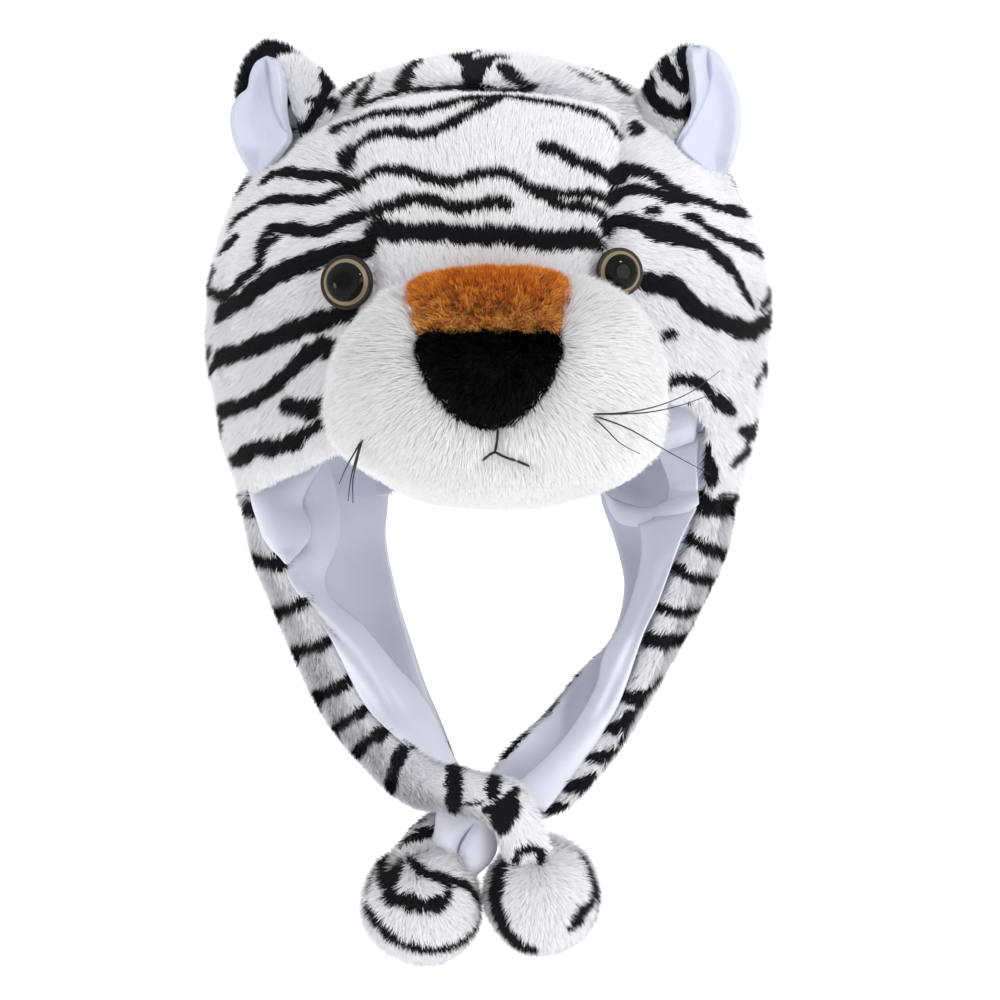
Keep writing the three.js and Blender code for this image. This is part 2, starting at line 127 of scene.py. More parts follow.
def clipMesh(points, faces, field, snap=0.35):
    # keeps the part where the field, one value a point, is positive
    points, field = [tuple(p) for p in points], [0.0 if abs(f) < snap else f for f in field]
    cuts, kept = {}, []

    def cutPoint(a, b):
        key = (min(a, b), max(a, b))
        if key not in cuts:
            share = field[key[0]] / (field[key[0]] - field[key[1]])
            cuts[key] = len(points)
            points.append(tuple(p + (q - p) * share for p, q in zip(points[key[0]], points[key[1]])))
        return cuts[key]

    for face in faces:
        inside = [field[i] >= 0 for i in face]
        if all(inside):
            if any(field[i] > 0 for i in face):
                kept.append(list(face))
        elif any(field[i] > 0 for i in face):
            ring = []
            for a, b in zip(face, list(face[1:]) + list(face[:1])):
                if field[a] >= 0:
                    ring.append(a)
                if field[a] * field[b] < 0:
                    ring.append(cutPoint(a, b))
            kept.append(ring)
    used = sorted({i for face in kept for i in face})
    place = {old: new for new, old in enumerate(used)}
    return np.array([points[i] for i in used]), [[place[i] for i in face] for face in kept]


def thickened(points, normals, faces, depth):
    # a closed wall: the given face, one behind it, and strips round the open edges
    count = len(points)
    edges = {}
    for face in faces:
        for a, b in zip(face, list(face[1:]) + list(face[:1])):
            edges[(a, b)] = edges.get((a, b), 0) + 1
    rims = [[b, a, a + count, b + count] for a, b in edges if (b, a) not in edges]
    inner = [[i + count for i in reversed(face)] for face in faces]
    return np.vstack([points, points - normals * depth]), faces + inner + rims


def ringFaces(rings, count, closed=True):
    # quads between neighbouring rings of equal length; closed ends are a ladder across the ring
    faces = []
    for k in range(rings - 1):
        for i in range(count):
            j = (i + 1) % count
            faces.append([k * count + i, k * count + j, (k + 1) * count + j, (k + 1) * count + i])
    if closed:
        for first, turned in ((0, True), ((rings - 1) * count, False)):
            low, high = 0, count - 1
            while low + 1 < high:
                face = [first + low, first + low + 1, first + high - 1, first + high]
                if low + 1 == high - 1:
                    face = [first + low, first + low + 1, first + high]
                faces.append(face[::-1] if turned else face)
                low, high = low + 1, high - 1
    return faces


def makeMesh(name, points, faces, finishes, values=None, finishOf=None):
    mesh = bpy.data.meshes.new(name)
    mesh.from_pydata([tuple(p) for p in np.asarray(points) * mm], [], [list(f) for f in faces])
    mesh.polygons.foreach_set("use_smooth", np.ones(len(mesh.polygons), bool))
    for finish in finishes:
        mesh.materials.append(finish)
    if finishOf is not None:
        mesh.polygons.foreach_set("material_index", np.asarray(finishOf, np.int32))
    for key, value in (values or {}).items():
        value = np.asarray(value, np.float32)
        kind, slot = ("FLOAT_VECTOR", "vector") if value.ndim == 2 else ("FLOAT", "value")
        mesh.attributes.new(key, kind, "POINT").data.foreach_set(slot, value.ravel())
    obj = bpy.data.objects.new(name, mesh)
    bpy.context.scene.collection.objects.link(obj)
    return obj


def splinePoints(path, steps):
    # a centripetal curve through the points, steps + 1 of them in all
    path = np.asarray(path, float)
    padded = np.vstack([2 * path[0] - path[1], path, 2 * path[-1] - path[-2]])
    result = []
    for place in np.linspace(0, len(path) - 1, steps + 1):
        k = min(int(place), len(path) - 2)
        share = place - k
        p0, p1, p2, p3 = padded[k:k + 4]
        d0, d1, d2 = [max(np.linalg.norm(b - a) ** 0.5, 1e-4) for a, b in ((p0, p1), (p1, p2), (p2, p3))]
        start = ((p1 - p0) / d0 - (p2 - p0) / (d0 + d1) + (p2 - p1) / d1) * d1
        end = ((p2 - p1) / d1 - (p3 - p1) / (d1 + d2) + (p3 - p2) / d2) * d1
        s2, s3 = share * share, share ** 3
        result.append(
            (2 * s3 - 3 * s2 + 1) * p1 + (s3 - 2 * s2 + share) * start + (3 * s2 - 2 * s3) * p2 + (s3 - s2) * end
        )
    return np.array(result)


def pathDistance(points, path, closed=False):
    # how far flat points lie from a line through the path's points
    path = np.asarray(path, float)
    ends = np.vstack([path[1:], path[:1]]) if closed else path[1:]
    starts = path if closed else path[:-1]
    best = np.full(len(points), 1e9)
    for a, b in zip(starts, ends):
        along = np.clip(((points - a) @ (b - a)) / max((b - a) @ (b - a), 1e-9), 0, 1)
        best = np.minimum(best, np.linalg.norm(points - (a + along[:, None] * (b - a)), axis=1))
    return best


def insideOutline(points, outline):
    # positive inside a closed flat outline, negative outside, as a distance
    outline = np.asarray(outline, float)
    inside = np.zeros(len(points), bool)
    for a, b in zip(outline, np.roll(outline, -1, axis=0)):
        crosses = (a[1] > points[:, 1]) != (b[1] > points[:, 1])
        if a[1] != b[1]:
            inside ^= crosses & (points[:, 0] < a[0] + (points[:, 1] - a[1]) * (b[0] - a[0]) / (b[1] - a[1]))
    return np.where(inside, 1, -1) * pathDistance(points, outline, closed=True)


# Materials

class Wiring:
    # short calls for building a node tree
    def __init__(self, tree):
        self.tree = tree

    def node(self, kind, **settings):
        made = self.tree.nodes.new(kind)
        for key, value in settings.items():
            setattr(made, key, value)
        return made

    def link(self, value, socket):
        # a wire where the value is another node's socket, or else the value itself
        if isinstance(value, bpy.types.NodeSocket):
            self.tree.links.new(value, socket)
        elif value is not None:
            socket.default_value = value

    def maths(self, operation, first, second=None, vector=False):
        made = self.node("ShaderNodeVectorMath" if vector else "ShaderNodeMath", operation=operation)
        self.link(first, made.inputs[0])
        self.link(second, made.inputs[1])
        return made.outputs[0]

    def scaled(self, vector, amount):
        made = self.node("ShaderNodeVectorMath", operation="SCALE")
        self.link(vector, made.inputs[0])
        self.link(amount, made.inputs["Scale"])
        return made.outputs[0]

    def mixed(self, share, first, second):
        made = self.node("ShaderNodeMix", data_type="RGBA")
        for k, value in ((0, share), (6, first), (7, second)):
            self.link(value, made.inputs[k])
        return made.outputs[2]

    def attribute(self, label, output="Fac"):
        return self.node("ShaderNodeAttribute", attribute_name=label).outputs[output]

    def group(self, tree, **amounts):
        made = self.node("ShaderNodeGroup", node_tree=tree)
        for label, amount in amounts.items():
            made.inputs[label].default_value = amount
        return made


def groupWith(name, inputs, outputs):
    tree = bpy.data.node_groups.new(name, "ShaderNodeTree")
    kinds = {"value": "NodeSocketFloat", "colour": "NodeSocketColor", "vector": "NodeSocketVector"}
    for label, kind, default in inputs:
        tree.interface.new_socket(label, in_out="INPUT", socket_type=kinds[kind]).default_value = default
    for label, kind in outputs:
        tree.interface.new_socket(label, in_out="OUTPUT", socket_type=kinds[kind])
    wiring = Wiring(tree)
    return wiring, wiring.node("NodeGroupInput").outputs, wiring.node("NodeGroupOutput").inputs


def strandToneGroup():
    # the colour of a strand: darker at its root as painted shade deep in the pile, printed dark where a stripe
    # crosses it
    wiring, given, result = groupWith("strandTone", [
        ("Root", "colour", (0.5, 0.5, 0.55, 1)),
        ("Tip", "colour", (0.9, 0.9, 0.93, 1)),
        ("Print", "colour", (0.02, 0.02, 0.025, 1)),
        ("Vary", "value", 0.1),
    ], [("Colour", "colour")])
    # painted shade: the shaded root colour brightens into the tip colour up the strand
    climb = wiring.maths("POWER", wiring.attribute("lift"), 0.7)
    plain = wiring.mixed(climb, given["Root"], given["Tip"])
    own = wiring.maths("SUBTRACT", wiring.attribute("strand"), 0.5)
    toned = wiring.scaled(plain, wiring.maths("ADD", wiring.maths("MULTIPLY", own, given["Vary"]), 1))
    wiring.link(wiring.mixed(wiring.attribute("stripe"), toned, given["Print"]), result["Colour"])
    return wiring.tree


def napGroup():
    # the pile shades as one soft surface: a strand borrows most of its normal from the cloth below
    wiring, given, result = groupWith("softNap", [("Amount", "value", 0.7)], [("Normal", "vector")])
    own = wiring.node("ShaderNodeNewGeometry").outputs["Normal"]
    mix = wiring.node("ShaderNodeMix", data_type="VECTOR")
    for k, value in ((0, given["Amount"]), (4, own), (5, wiring.attribute("nap", "Vector"))):
        wiring.link(value, mix.inputs[k])
    wiring.link(wiring.maths("NORMALIZE", mix.outputs[1], vector=True), result["Normal"])
    return wiring.tree


def knitGroup():
    # brushed knit: fine ribs of loops under a fuzz, with soft blotches of shade
    wiring, given, result = groupWith("brushedKnit", [
        ("Loops", "value", 1400.0), ("Fuzz", "value", 2600.0),
    ], [("Height", "value"), ("Shade", "value")])
    place = wiring.node("ShaderNodeTexCoord").outputs["Object"]
    loops = wiring.node("ShaderNodeTexWave", wave_type="BANDS", bands_direction="DIAGONAL")
    fuzz = wiring.node("ShaderNodeTexNoise")
    blotch = wiring.node("ShaderNodeTexNoise")
    blotch.inputs["Scale"].default_value = 45
    loops.inputs["Distortion"].default_value = 1.5
    for made in (loops, fuzz, blotch):
        wiring.link(place, made.inputs["Vector"])
    wiring.link(given["Loops"], loops.inputs["Scale"])
    wiring.link(given["Fuzz"], fuzz.inputs["Scale"])
    ribs = wiring.maths("MULTIPLY", loops.outputs["Fac"], 0.5)
    wiring.link(wiring.maths("ADD", ribs, fuzz.outputs["Fac"]), result["Height"])
    soft = wiring.maths("MULTIPLY", blotch.outputs["Fac"], 0.14)
    grain = wiring.maths("MULTIPLY", fuzz.outputs["Fac"], 0.08)
    wiring.link(wiring.maths("ADD", wiring.maths("ADD", soft, grain), 0.89), result["Shade"])
    return wiring.tree


def newMaterial(name, roughness, **sockets):
    material = bpy.data.materials.new(name)
    material.use_nodes = True
    shader = material.node_tree.nodes["Principled BSDF"]
    shader.inputs["Roughness"].default_value = roughness
    for label, value in sockets.items():
        shader.inputs[label.replace("_", " ")].default_value = value
    return material, Wiring(material.node_tree), shader


strandTone, softNap, brushedKnit = strandToneGroup(), napGroup(), knitGroup()

# each plush's root colour is its tip colour painted darker: painted shade deep in the pile
plushes = {
    "stripedPlush": {"root": (0.8, 0.8, 0.85), "tip": (0.93, 0.93, 0.955), "vary": 0.12, "nap": 0.35},
    "whitePlush": {"root": (0.68, 0.685, 0.72), "tip": (0.9, 0.9, 0.91), "vary": 0.09, "nap": 0.4},
    "brownPlush": {"root": (0.3, 0.07, 0.006), "tip": (0.86, 0.3, 0.035), "vary": 0.7, "nap": 0.15},
    "blackPlush": {"root": (0.001, 0.001, 0.0015), "tip": (0.009, 0.009, 0.011), "vary": 1.4, "nap": 0.1},
}
stripeInk = (0.013, 0.013, 0.018, 1)
goldTip = (0.8, 0.42, 0.11, 1)


def plushMaterial(name):
    look = plushes[name]
    soft = 0.0 if name == "blackPlush" else 0.1
    material, wiring, shader = newMaterial(name, 0.85, Specular_IOR_Level=0.3 * soft, Sheen_Weight=soft)
    tone = wiring.group(strandTone, Root=(*look["root"], 1), Tip=(*look["tip"], 1), Vary=look["vary"],
                        Print=goldTip if name == "brownPlush" else stripeInk)
    wiring.link(tone.outputs["Colour"], shader.inputs["Base Color"])
    wiring.link(wiring.group(softNap, Amount=look["nap"]).outputs["Normal"], shader.inputs["Normal"])
    return material


def knitMaterial(name, colour):
    material, wiring, shader = newMaterial(name, 0.8, Specular_IOR_Level=0.2, Sheen_Weight=0.25)
    knit = wiring.group(brushedKnit)
    bump = wiring.node("ShaderNodeBump")
    bump.inputs["Strength"].default_value = 0.25
    bump.inputs["Distance"].default_value = 0.0003
    wiring.link(wiring.scaled(colour, knit.outputs["Shade"]), shader.inputs["Base Color"])
    wiring.link(knit.outputs["Height"], bump.inputs["Height"])
    wiring.link(bump.outputs["Normal"], shader.inputs["Normal"])
    return material


def plasticMaterial(name, inner, outer, roughness, gloss):
    # moulded plastic whose colour changes from the middle outwards, with faint moulding marks
    material, wiring, shader = newMaterial(name, roughness, Specular_IOR_Level=gloss)
    noise = wiring.node("ShaderNodeTexNoise")
    noise.inputs["Scale"].default_value = 900
    wiring.link(wiring.node("ShaderNodeTexCoord").outputs["Object"], noise.inputs["Vector"])
    ragged = wiring.maths("ADD", wiring.attribute("radial"), wiring.maths("MULTIPLY", noise.outputs["Fac"], 0.08))
    ramp = wiring.node("ShaderNodeMapRange")
    ramp.inputs["From Min"].default_value = 0.4
    ramp.inputs["From Max"].default_value = 0.62
    wiring.link(ragged, ramp.inputs["Value"])
    wiring.link(wiring.mixed(ramp.outputs["Result"], (*inner, 1), (*outer, 1)), shader.inputs["Base Color"])
    return material


def threadMaterial(name, colour, roughness):
    material, wiring, shader = newMaterial(name, roughness, Specular_IOR_Level=0.4)
    twist = wiring.node("ShaderNodeTexWave", wave_type="BANDS", bands_direction="DIAGONAL")
    twist.inputs["Scale"].default_value = 900
    wiring.link(wiring.node("ShaderNodeTexCoord").outputs["Object"], twist.inputs["Vector"])
    shade = wiring.maths("ADD", wiring.maths("MULTIPLY", twist.outputs["Fac"], 0.5), 0.75)
    wiring.link(wiring.scaled(colour, shade), shader.inputs["Base Color"])
    return material


finishes = {name: plushMaterial(name) for name in plushes}
finishes["liningKnit"] = knitMaterial("liningKnit", (0.8, 0.82, 0.92))
# the ears' knit is the lining's knit painted darker: painted shade inside the ears
finishes["earKnitShaded"] = knitMaterial("earKnitShaded", (0.6, 0.63, 0.75))
finishes["eyeRim"] = plasticMaterial("eyeRim", (0.04, 0.029, 0.017), (0.026, 0.019, 0.012), 0.35, 0.2)
finishes["eyeRing"] = plasticMaterial("eyeRing", (0.17, 0.125, 0.08), (0.25, 0.19, 0.12), 0.3, 0.4)
finishes["eyeDome"] = plasticMaterial("eyeDome", (0.001, 0.001, 0.001), (0.006, 0.006, 0.005), 0.07, 0.14)
finishes["mouthThread"] = threadMaterial("mouthThread", (0.012, 0.012, 0.014), 0.7)
finishes["whiskerNylon"] = threadMaterial("whiskerNylon", (0.02, 0.02, 0.025), 0.4)


floor = {"low": -365, "near": -4000, "wall": 2600, "bend": 900, "top": 5000, "half": 6000, "tone": 0.97, "glow": 0.2}


def makeFloor():
    # a pale floor, lit through from below, that rises in one curve to a backdrop
    material, wiring, shader = newMaterial("paleFloor", 0.9, Emission_Strength=floor["glow"])
    shader.inputs["Base Color"].default_value = (floor["tone"], floor["tone"], floor["tone"], 1)
    shader.inputs["Emission Color"].default_value = (1, 1, 1, 1)
    foot, start = floor["low"] + floor["bend"], floor["wall"] - floor["bend"]
    profile = [(floor["near"], floor["low"])]
    profile += [(start + floor["bend"] * math.sin(t), foot - floor["bend"] * math.cos(t))
                for t in np.linspace(0, math.pi / 2, 13)]
    profile.append((floor["wall"], floor["top"]))
    points = [(x, y, z) for y, z in profile for x in (-floor["half"], floor["half"])]
    faces = [[2 * k, 2 * k + 1, 2 * k + 3, 2 * k + 2] for k in range(len(profile) - 1)]
    makeMesh("floor", points, faces, [material])


makeCamera()
makeLights()
makeFloor()
print("stage set")


# Pile: strands grown on a cloth by one Geometry Nodes tree

def bladeMesh():
    # one strand, a unit long and wide, bent a little towards its tip
    corners = np.array([(-0.5, 0, 0), (0.5, 0, 0), (0, -0.12, 1)])
    return makeMesh("strandShape", corners / mm, [(0, 1, 2)], [], {"lift": [0, 0, 1]})


def pileTree():
    tree = bpy.data.node_groups.new("plushPile", "GeometryNodeTree")
    wiring = Wiring(tree)
    inputs = [("Cloth", "Geometry", None), ("Density", "Float", 4e6), ("Length", "Float", 0.006),
              ("Width", "Float", 0.0005), ("Lean", "Float", 0.9), ("Ruffle", "Float", 0.3),
              ("Clump", "Float", 0.4), ("Clump Scale", "Float", 140.0), ("Seed", "Int", 1),
              ("Strand", "Object", None), ("Finish", "Material", None)]
    for label, kind, default in inputs:
        socket = tree.interface.new_socket(label, in_out="INPUT", socket_type="NodeSocket" + kind)
        if default is not None:
            socket.default_value = default
    tree.interface.new_socket("Plush", in_out="OUTPUT", socket_type="NodeSocketGeometry")
    given = wiring.node("NodeGroupInput").outputs

    def named(label, kind):
        made = wiring.node("GeometryNodeInputNamedAttribute", data_type=kind)
        made.inputs["Name"].default_value = label
        return made.outputs["Attribute"]

    def stored(geometry, label, kind, value):
        made = wiring.node("GeometryNodeStoreNamedAttribute", data_type=kind, domain="POINT")
        made.inputs["Name"].default_value = label
        wiring.link(geometry, made.inputs["Geometry"])
        wiring.link(value, made.inputs["Value"])
        return made.outputs["Geometry"]

    def random(low, high, salt, kind="FLOAT"):
        made = wiring.node("FunctionNodeRandomValue", data_type=kind)
        names = ("Min", "Max") if kind == "FLOAT_VECTOR" else ("Min_001", "Max_001")
        for socket in made.inputs:
            if socket.identifier in names:
                socket.default_value = low if socket.identifier == names[0] else high
            if socket.name == "Seed":
                wiring.link(wiring.maths("ADD", given["Seed"], salt), socket)
        return made.outputs[0] if kind == "FLOAT_VECTOR" else made.outputs[1]

    scatter = wiring.node("GeometryNodeDistributePointsOnFaces", distribute_method="RANDOM")
    wiring.link(given["Cloth"], scatter.inputs["Mesh"])
    wiring.link(wiring.maths("MULTIPLY", given["Density"], named("pile", "FLOAT")), scatter.inputs["Density"])
    wiring.link(given["Seed"], scatter.inputs["Seed"])
    normal = scatter.outputs["Normal"]
    place = wiring.node("GeometryNodeInputPosition").outputs[0]
    points = stored(scatter.outputs["Points"], "root", "FLOAT_VECTOR", place)
    points = stored(points, "nap", "FLOAT_VECTOR", normal)
    points = stored(points, "strand", "FLOAT", random(0.0, 1.0, 11))

    def added(vector, other, label):
        return wiring.maths("ADD", vector, wiring.scaled(other, given[label]), vector=True)

    lock = wiring.node("ShaderNodeTexNoise", noise_dimensions="3D")
    wiring.link(given["Clump Scale"], lock.inputs["Scale"])
    lock.inputs["Detail"].default_value = 1.0
    drawn = wiring.maths("SUBTRACT", lock.outputs["Color"], (0.5, 0.5, 0.5), vector=True)
    direction = added(normal, named("comb", "FLOAT_VECTOR"), "Lean")
    direction = added(direction, random((-1, -1, -1), (1, 1, 1), 23, "FLOAT_VECTOR"), "Ruffle")
    direction = added(direction, drawn, "Clump")
    flat = wiring.maths("CROSS_PRODUCT", normal, direction, vector=True)
    tilted = wiring.maths("MULTIPLY", random((-1, -1, -1), (1, 1, 1), 31, "FLOAT_VECTOR"), (0.35, 0.35, 0.35),
                          vector=True)
    across = wiring.maths("ADD", flat, tilted, vector=True)
    turn = wiring.node("FunctionNodeAxesToRotation", primary_axis="Z", secondary_axis="X")
    wiring.link(direction, turn.inputs["Primary Axis"])
    wiring.link(across, turn.inputs["Secondary Axis"])
    long = wiring.maths("MULTIPLY", given["Length"], random(0.72, 1.18, 41))
    long = wiring.maths("MULTIPLY", long, named("fur", "FLOAT"))
    size = wiring.node("ShaderNodeCombineXYZ")
    wiring.link(wiring.maths("MULTIPLY", given["Width"], random(0.7, 1.3, 53)), size.inputs[0])
    wiring.link(long, size.inputs[1])
    wiring.link(long, size.inputs[2])
    shape = wiring.node("GeometryNodeObjectInfo")
    wiring.link(given["Strand"], shape.inputs["Object"])
    grown = wiring.node("GeometryNodeInstanceOnPoints")
    wiring.link(points, grown.inputs["Points"])
    wiring.link(shape.outputs["Geometry"], grown.inputs["Instance"])
    wiring.link(turn.outputs[0], grown.inputs["Rotation"])
    wiring.link(size.outputs[0], grown.inputs["Scale"])
    real = wiring.node("GeometryNodeRealizeInstances")
    wiring.link(grown.outputs[0], real.inputs[0])

    cloth = stored(given["Cloth"], "root", "FLOAT_VECTOR", place)
    cloth = stored(cloth, "nap", "FLOAT_VECTOR", wiring.node("GeometryNodeInputNormal").outputs[0])
    both = wiring.node("GeometryNodeJoinGeometry")
    wiring.link(real.outputs[0], both.inputs[0])
    wiring.link(cloth, both.inputs[0])
    finish = wiring.node("GeometryNodeSetMaterial")
    wiring.link(both.outputs[0], finish.inputs["Geometry"])
    wiring.link(given["Finish"], finish.inputs["Material"])
    wiring.link(finish.outputs[0], wiring.node("NodeGroupOutput").inputs[0])
    return tree


plushPile, strandShape = pileTree(), bladeMesh()


# the room searched round a stripe, the height from which a point counts as another fold's and how far off
# it then lies, the edge's raggedness, and the spacing of a line's spots, with the widest gap that is filled
stripeLook = {"reach": 5, "above": 7, "beyond": 9, "ragged": 0.6, "bleed": 0.45, "spacing": 0.9, "fill": 1.2,
              "gap": 14, "atOnce": 8000}


def stripeDepth(points, normals, stripes):
    # how deep inside the nearest stripe each point lies, measured along the cloth; negative outside
    depth = np.full(len(points), -99.0)
    for path, half in stripes:
        reach = half.max() + stripeLook["reach"]
        near = np.nonzero(np.all((points > path.min(0) - reach) & (points < path.max(0) + reach), axis=1))[0]
        for start in range(0, len(near), stripeLook["atOnce"]):
            chunk = near[start:start + stripeLook["atOnce"]]
            apart = points[chunk][:, None, :] - path[None]
            rise = np.einsum("ijk,ik->ij", apart, normals[chunk])
            flat = np.sqrt(np.maximum((apart ** 2).sum(axis=2) - rise ** 2, 0))
            flat += stripeLook["beyond"] * (np.abs(rise) > stripeLook["above"])
            depth[chunk] = np.maximum(depth[chunk], (half[None] - flat).max(axis=1))
    return depth


def cellUv(mesh):
    # every face gets a small cell of its own on the texture, in rows from low to high
    count = len(mesh.polygons)
    starts, totals = np.empty(count, np.int32), np.empty(count, np.int32)
    mesh.polygons.foreach_get("loop_start", starts)
    mesh.polygons.foreach_get("loop_total", totals)
    centres = np.empty(count * 3, np.float32)
    mesh.polygons.foreach_get("center", centres)
    centres = centres.reshape(-1, 3)
    order = np.lexsort((centres[:, 0], np.round(centres[:, 2] / 0.004)))
    cell = np.empty(count, np.int64)
    cell[order] = np.arange(count)
    side = math.ceil(math.sqrt(count))
    row, column = cell // side, cell % side
    owner = np.repeat(np.arange(count), totals)
    corner = np.arange(len(mesh.loops)) - starts[owner]
    angle = 2 * math.pi * corner / totals[owner] + math.pi / 4
    uv = np.empty((len(mesh.loops), 2), np.float32)
    uv[:, 0] = (column[owner] + 0.5 + 0.42 * np.cos(angle)) / side
    uv[:, 1] = (row[owner] + 0.5 + 0.42 * np.sin(angle)) / side
    mesh.uv_layers.new(name="OFBake").data.foreach_set("uv", uv.ravel())


def striped(stripes):
    # a strand is dark where its middle lies in a stripe, with a ragged edge
    return lambda spots, chance, nap: stripeDepth(spots, nap, stripes) > (chance - 0.5) * 2 * stripeLook["ragged"]


def unprinted(spots, chance, nap):
    return np.zeros(len(spots))


strandMiddle = 0.6  # the part of a strand that shows between its neighbours


def growPile(cloth, pile, finish, paint):
    # turns the cloth into one plain mesh with its pile, each strand painted by where its middle lies
    modifier = cloth.modifiers.new("pile", "NODES")
    modifier.node_group = plushPile
    names = {item.name: item.identifier for item in plushPile.interface.items_tree if item.in_out == "INPUT"}
    amounts = {"Density": pile["perSquare"] * 1e6, "Length": pile["long"] * mm, "Width": pile["wide"] * mm,
               "Lean": pile["lean"], "Ruffle": pile["ruffle"], "Clump": pile["clump"],
               "Clump Scale": 1000.0 / pile["lock"], "Seed": pile["seed"], "Strand": strandShape,
               "Finish": finish}
    for label, amount in amounts.items():
        modifier[names[label]] = amount
    graph = bpy.context.evaluated_depsgraph_get()
    mesh = bpy.data.meshes.new_from_object(cloth.evaluated_get(graph), depsgraph=graph)
    cloth.modifiers.remove(modifier)
    old = cloth.data
    cloth.data = mesh
    bpy.data.meshes.remove(old)
    count = len(mesh.vertices)
    root = np.empty(count * 3, np.float32)
    mesh.attributes["root"].data.foreach_get("vector", root)
    root = root.reshape(-1, 3).astype(float) / mm
    strand, lift, nap = np.empty(count, np.float32), np.empty(count, np.float32), np.empty(count * 3, np.float32)
    mesh.attributes["strand"].data.foreach_get("value", strand)
    mesh.attributes["lift"].data.foreach_get("value", lift)
    mesh.attributes["nap"].data.foreach_get("vector", nap)
    place, nap = np.empty(count * 3, np.float32), nap.reshape(-1, 3)
    mesh.vertices.foreach_get("co", place)
    changes = np.concatenate([[True], np.any(root[1:] != root[:-1], axis=1)])
    firsts = np.nonzero(changes)[0]
    lasts = np.append(firsts[1:], count) - 1
    reach = (place.reshape(-1, 3)[lasts] / mm - root[firsts]) * (lift[lasts] > 0.5)[:, None]
    reach -= nap[firsts] * np.sum(reach * nap[firsts], axis=1, keepdims=True)
    printed = paint(root[firsts] + reach * strandMiddle, strand[firsts], nap[firsts])
    target = mesh.attributes.new("stripe", "FLOAT", "POINT")
    target.data.foreach_set("value", printed.astype(np.float32)[np.cumsum(changes) - 1])
    for extra in ("comb", "pile", "fur", "root"):
        if extra in mesh.attributes:
            mesh.attributes.remove(mesh.attributes[extra])
    mesh.polygons.foreach_set("use_smooth", np.ones(len(mesh.polygons), bool))
    cellUv(mesh)
    print("  ", cloth.name, len(mesh.loops) - 2 * len(mesh.polygons), "triangles")
    return cloth


def plushPiece(name, points, faces, comb, pile, finish, node, paint=unprinted, fur=None, mask=None):
    normals = pointNormals(points, faces)
    comb = comb - normals * np.sum(comb * normals, axis=1, keepdims=True)
    given = {"comb": unit(comb), "pile": np.ones(len(points)) if mask is None else mask,
             "fur": np.ones(len(points)) if fur is None else fur, "lift": np.zeros(len(points)),
             "strand": np.full(len(points), 0.5)}
    cloth = makeMesh(name, points, faces, [finish], given)
    growPile(cloth, pile, finish, paint)
    return settle(cloth, node)


def settle(piece, node):
    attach(piece, "root")
    if node:
        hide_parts(node)
    return piece


# Stripes, charted on the photograph's pixels where the front shows them, and beyond its
# reach on plain side, back and top views of the hat in millimetres

def rayFrom(look, first, second):
    if look == "front":
        scale, middle = view["perPixel"], view["pixels"] / 2
        eye = Vector(view["eye"])
        target = Vector((eye.x + (first - middle) * scale, 0, eye.z - (second - middle) * scale))
        return eye, (target - eye).normalized()
    origins = {"left": (-400, first, second), "right": (400, first, second), "back": (first, 400, second),
               "top": (first, second, 400)}
    directions = {"left": (1, 0, 0), "right": (-1, 0, 0), "back": (0, -1, 0), "top": (0, 0, -1)}
    return Vector(origins[look]), Vector(directions[look])


def treeOf(points, faces):
    return BVHTree.FromPolygons([tuple(p) for p in points], [list(f) for f in faces])


def castOn(tree, look, first, second):
    origin, direction = rayFrom(look, first, second)
    hit, normal = tree.ray_cast(origin, direction)[:2]
    if hit is None:  # past the rim: the spot nearest to the line of sight
        reach = (Vector((0, 0, -120)) - origin).dot(direction)
        found = [tree.find_nearest(origin + direction * (reach + step)) for step in range(-120, 121, 6)]
        hit, normal = min(found, key=lambda spot: spot[3])[:2]
    return np.array(hit), np.array(normal)


def withoutGaps(spots, half):
    # more spots where the cloth turns away from the view and its line would break up
    apart = np.linalg.norm(np.diff(spots, axis=0), axis=1)
    counts = np.where(apart < stripeLook["gap"], np.ceil(apart / stripeLook["fill"]), 1).clip(1).astype(int)
    at = np.concatenate([k + np.arange(count) / count for k, count in enumerate(counts)] + [[len(counts)]])
    order = np.arange(len(spots))
    return np.column_stack([np.interp(at, order, spots[:, k]) for k in range(3)]), np.interp(at, order, half)


def printOn(points, faces, charts, sink=0.0):
    # each chart row: which view it is drawn on, the stripe's width in millimetres, and its middle line;
    # sink carries a line drawn on the tips of the pile down to the cloth
    tree, stripes = treeOf(points, faces), []
    for look, wide, path in charts:
        length = sum(math.dist(a, b) for a, b in zip(path[:-1], path[1:]))
        length *= view["perPixel"] if look == "front" else 1
        steps = max(4, int(length / stripeLook["spacing"]))
        line = splinePoints(path, steps) if len(path) > 2 else np.linspace(path[0], path[-1], steps + 1)
        hits = [castOn(tree, look, *spot) for spot in line]
        spots = np.array([place - direction * sink for place, direction in hits])
        along = np.linspace(0, length, steps + 1)
        fromEnd = np.minimum(along, length - along)
        half = (0.5 * wide + stripeLook["bleed"]) * np.clip(0.4 + fromEnd / (0.9 * wide), 0, 1) ** 0.7
        half *= 1 + 0.13 * np.sin(along * 0.7 + wide) + 0.08 * np.sin(along * 1.9 + 2 * wide)
        stripes.append(withoutGaps(spots, half))
    return striped(stripes)


def pixelsOf(points):
    scale = view["perPixel"] * (1 - points[:, 1] / view["eye"][1])
    across = (points[:, 0] - view["eye"][0]) / scale
    down = (view["eye"][2] - points[:, 2]) / scale
    return np.column_stack([across, down]) + view["pixels"] / 2


def pixelPoints(pixels, depth):
    # the points that show at these pixels at a given y
    scale = view["perPixel"] * (1 - depth / view["eye"][1])
    fromMiddle = (pixels - view["pixels"] / 2) * scale[:, None]
    return np.column_stack([view["eye"][0] + fromMiddle[:, 0], depth, view["eye"][2] - fromMiddle[:, 1]])


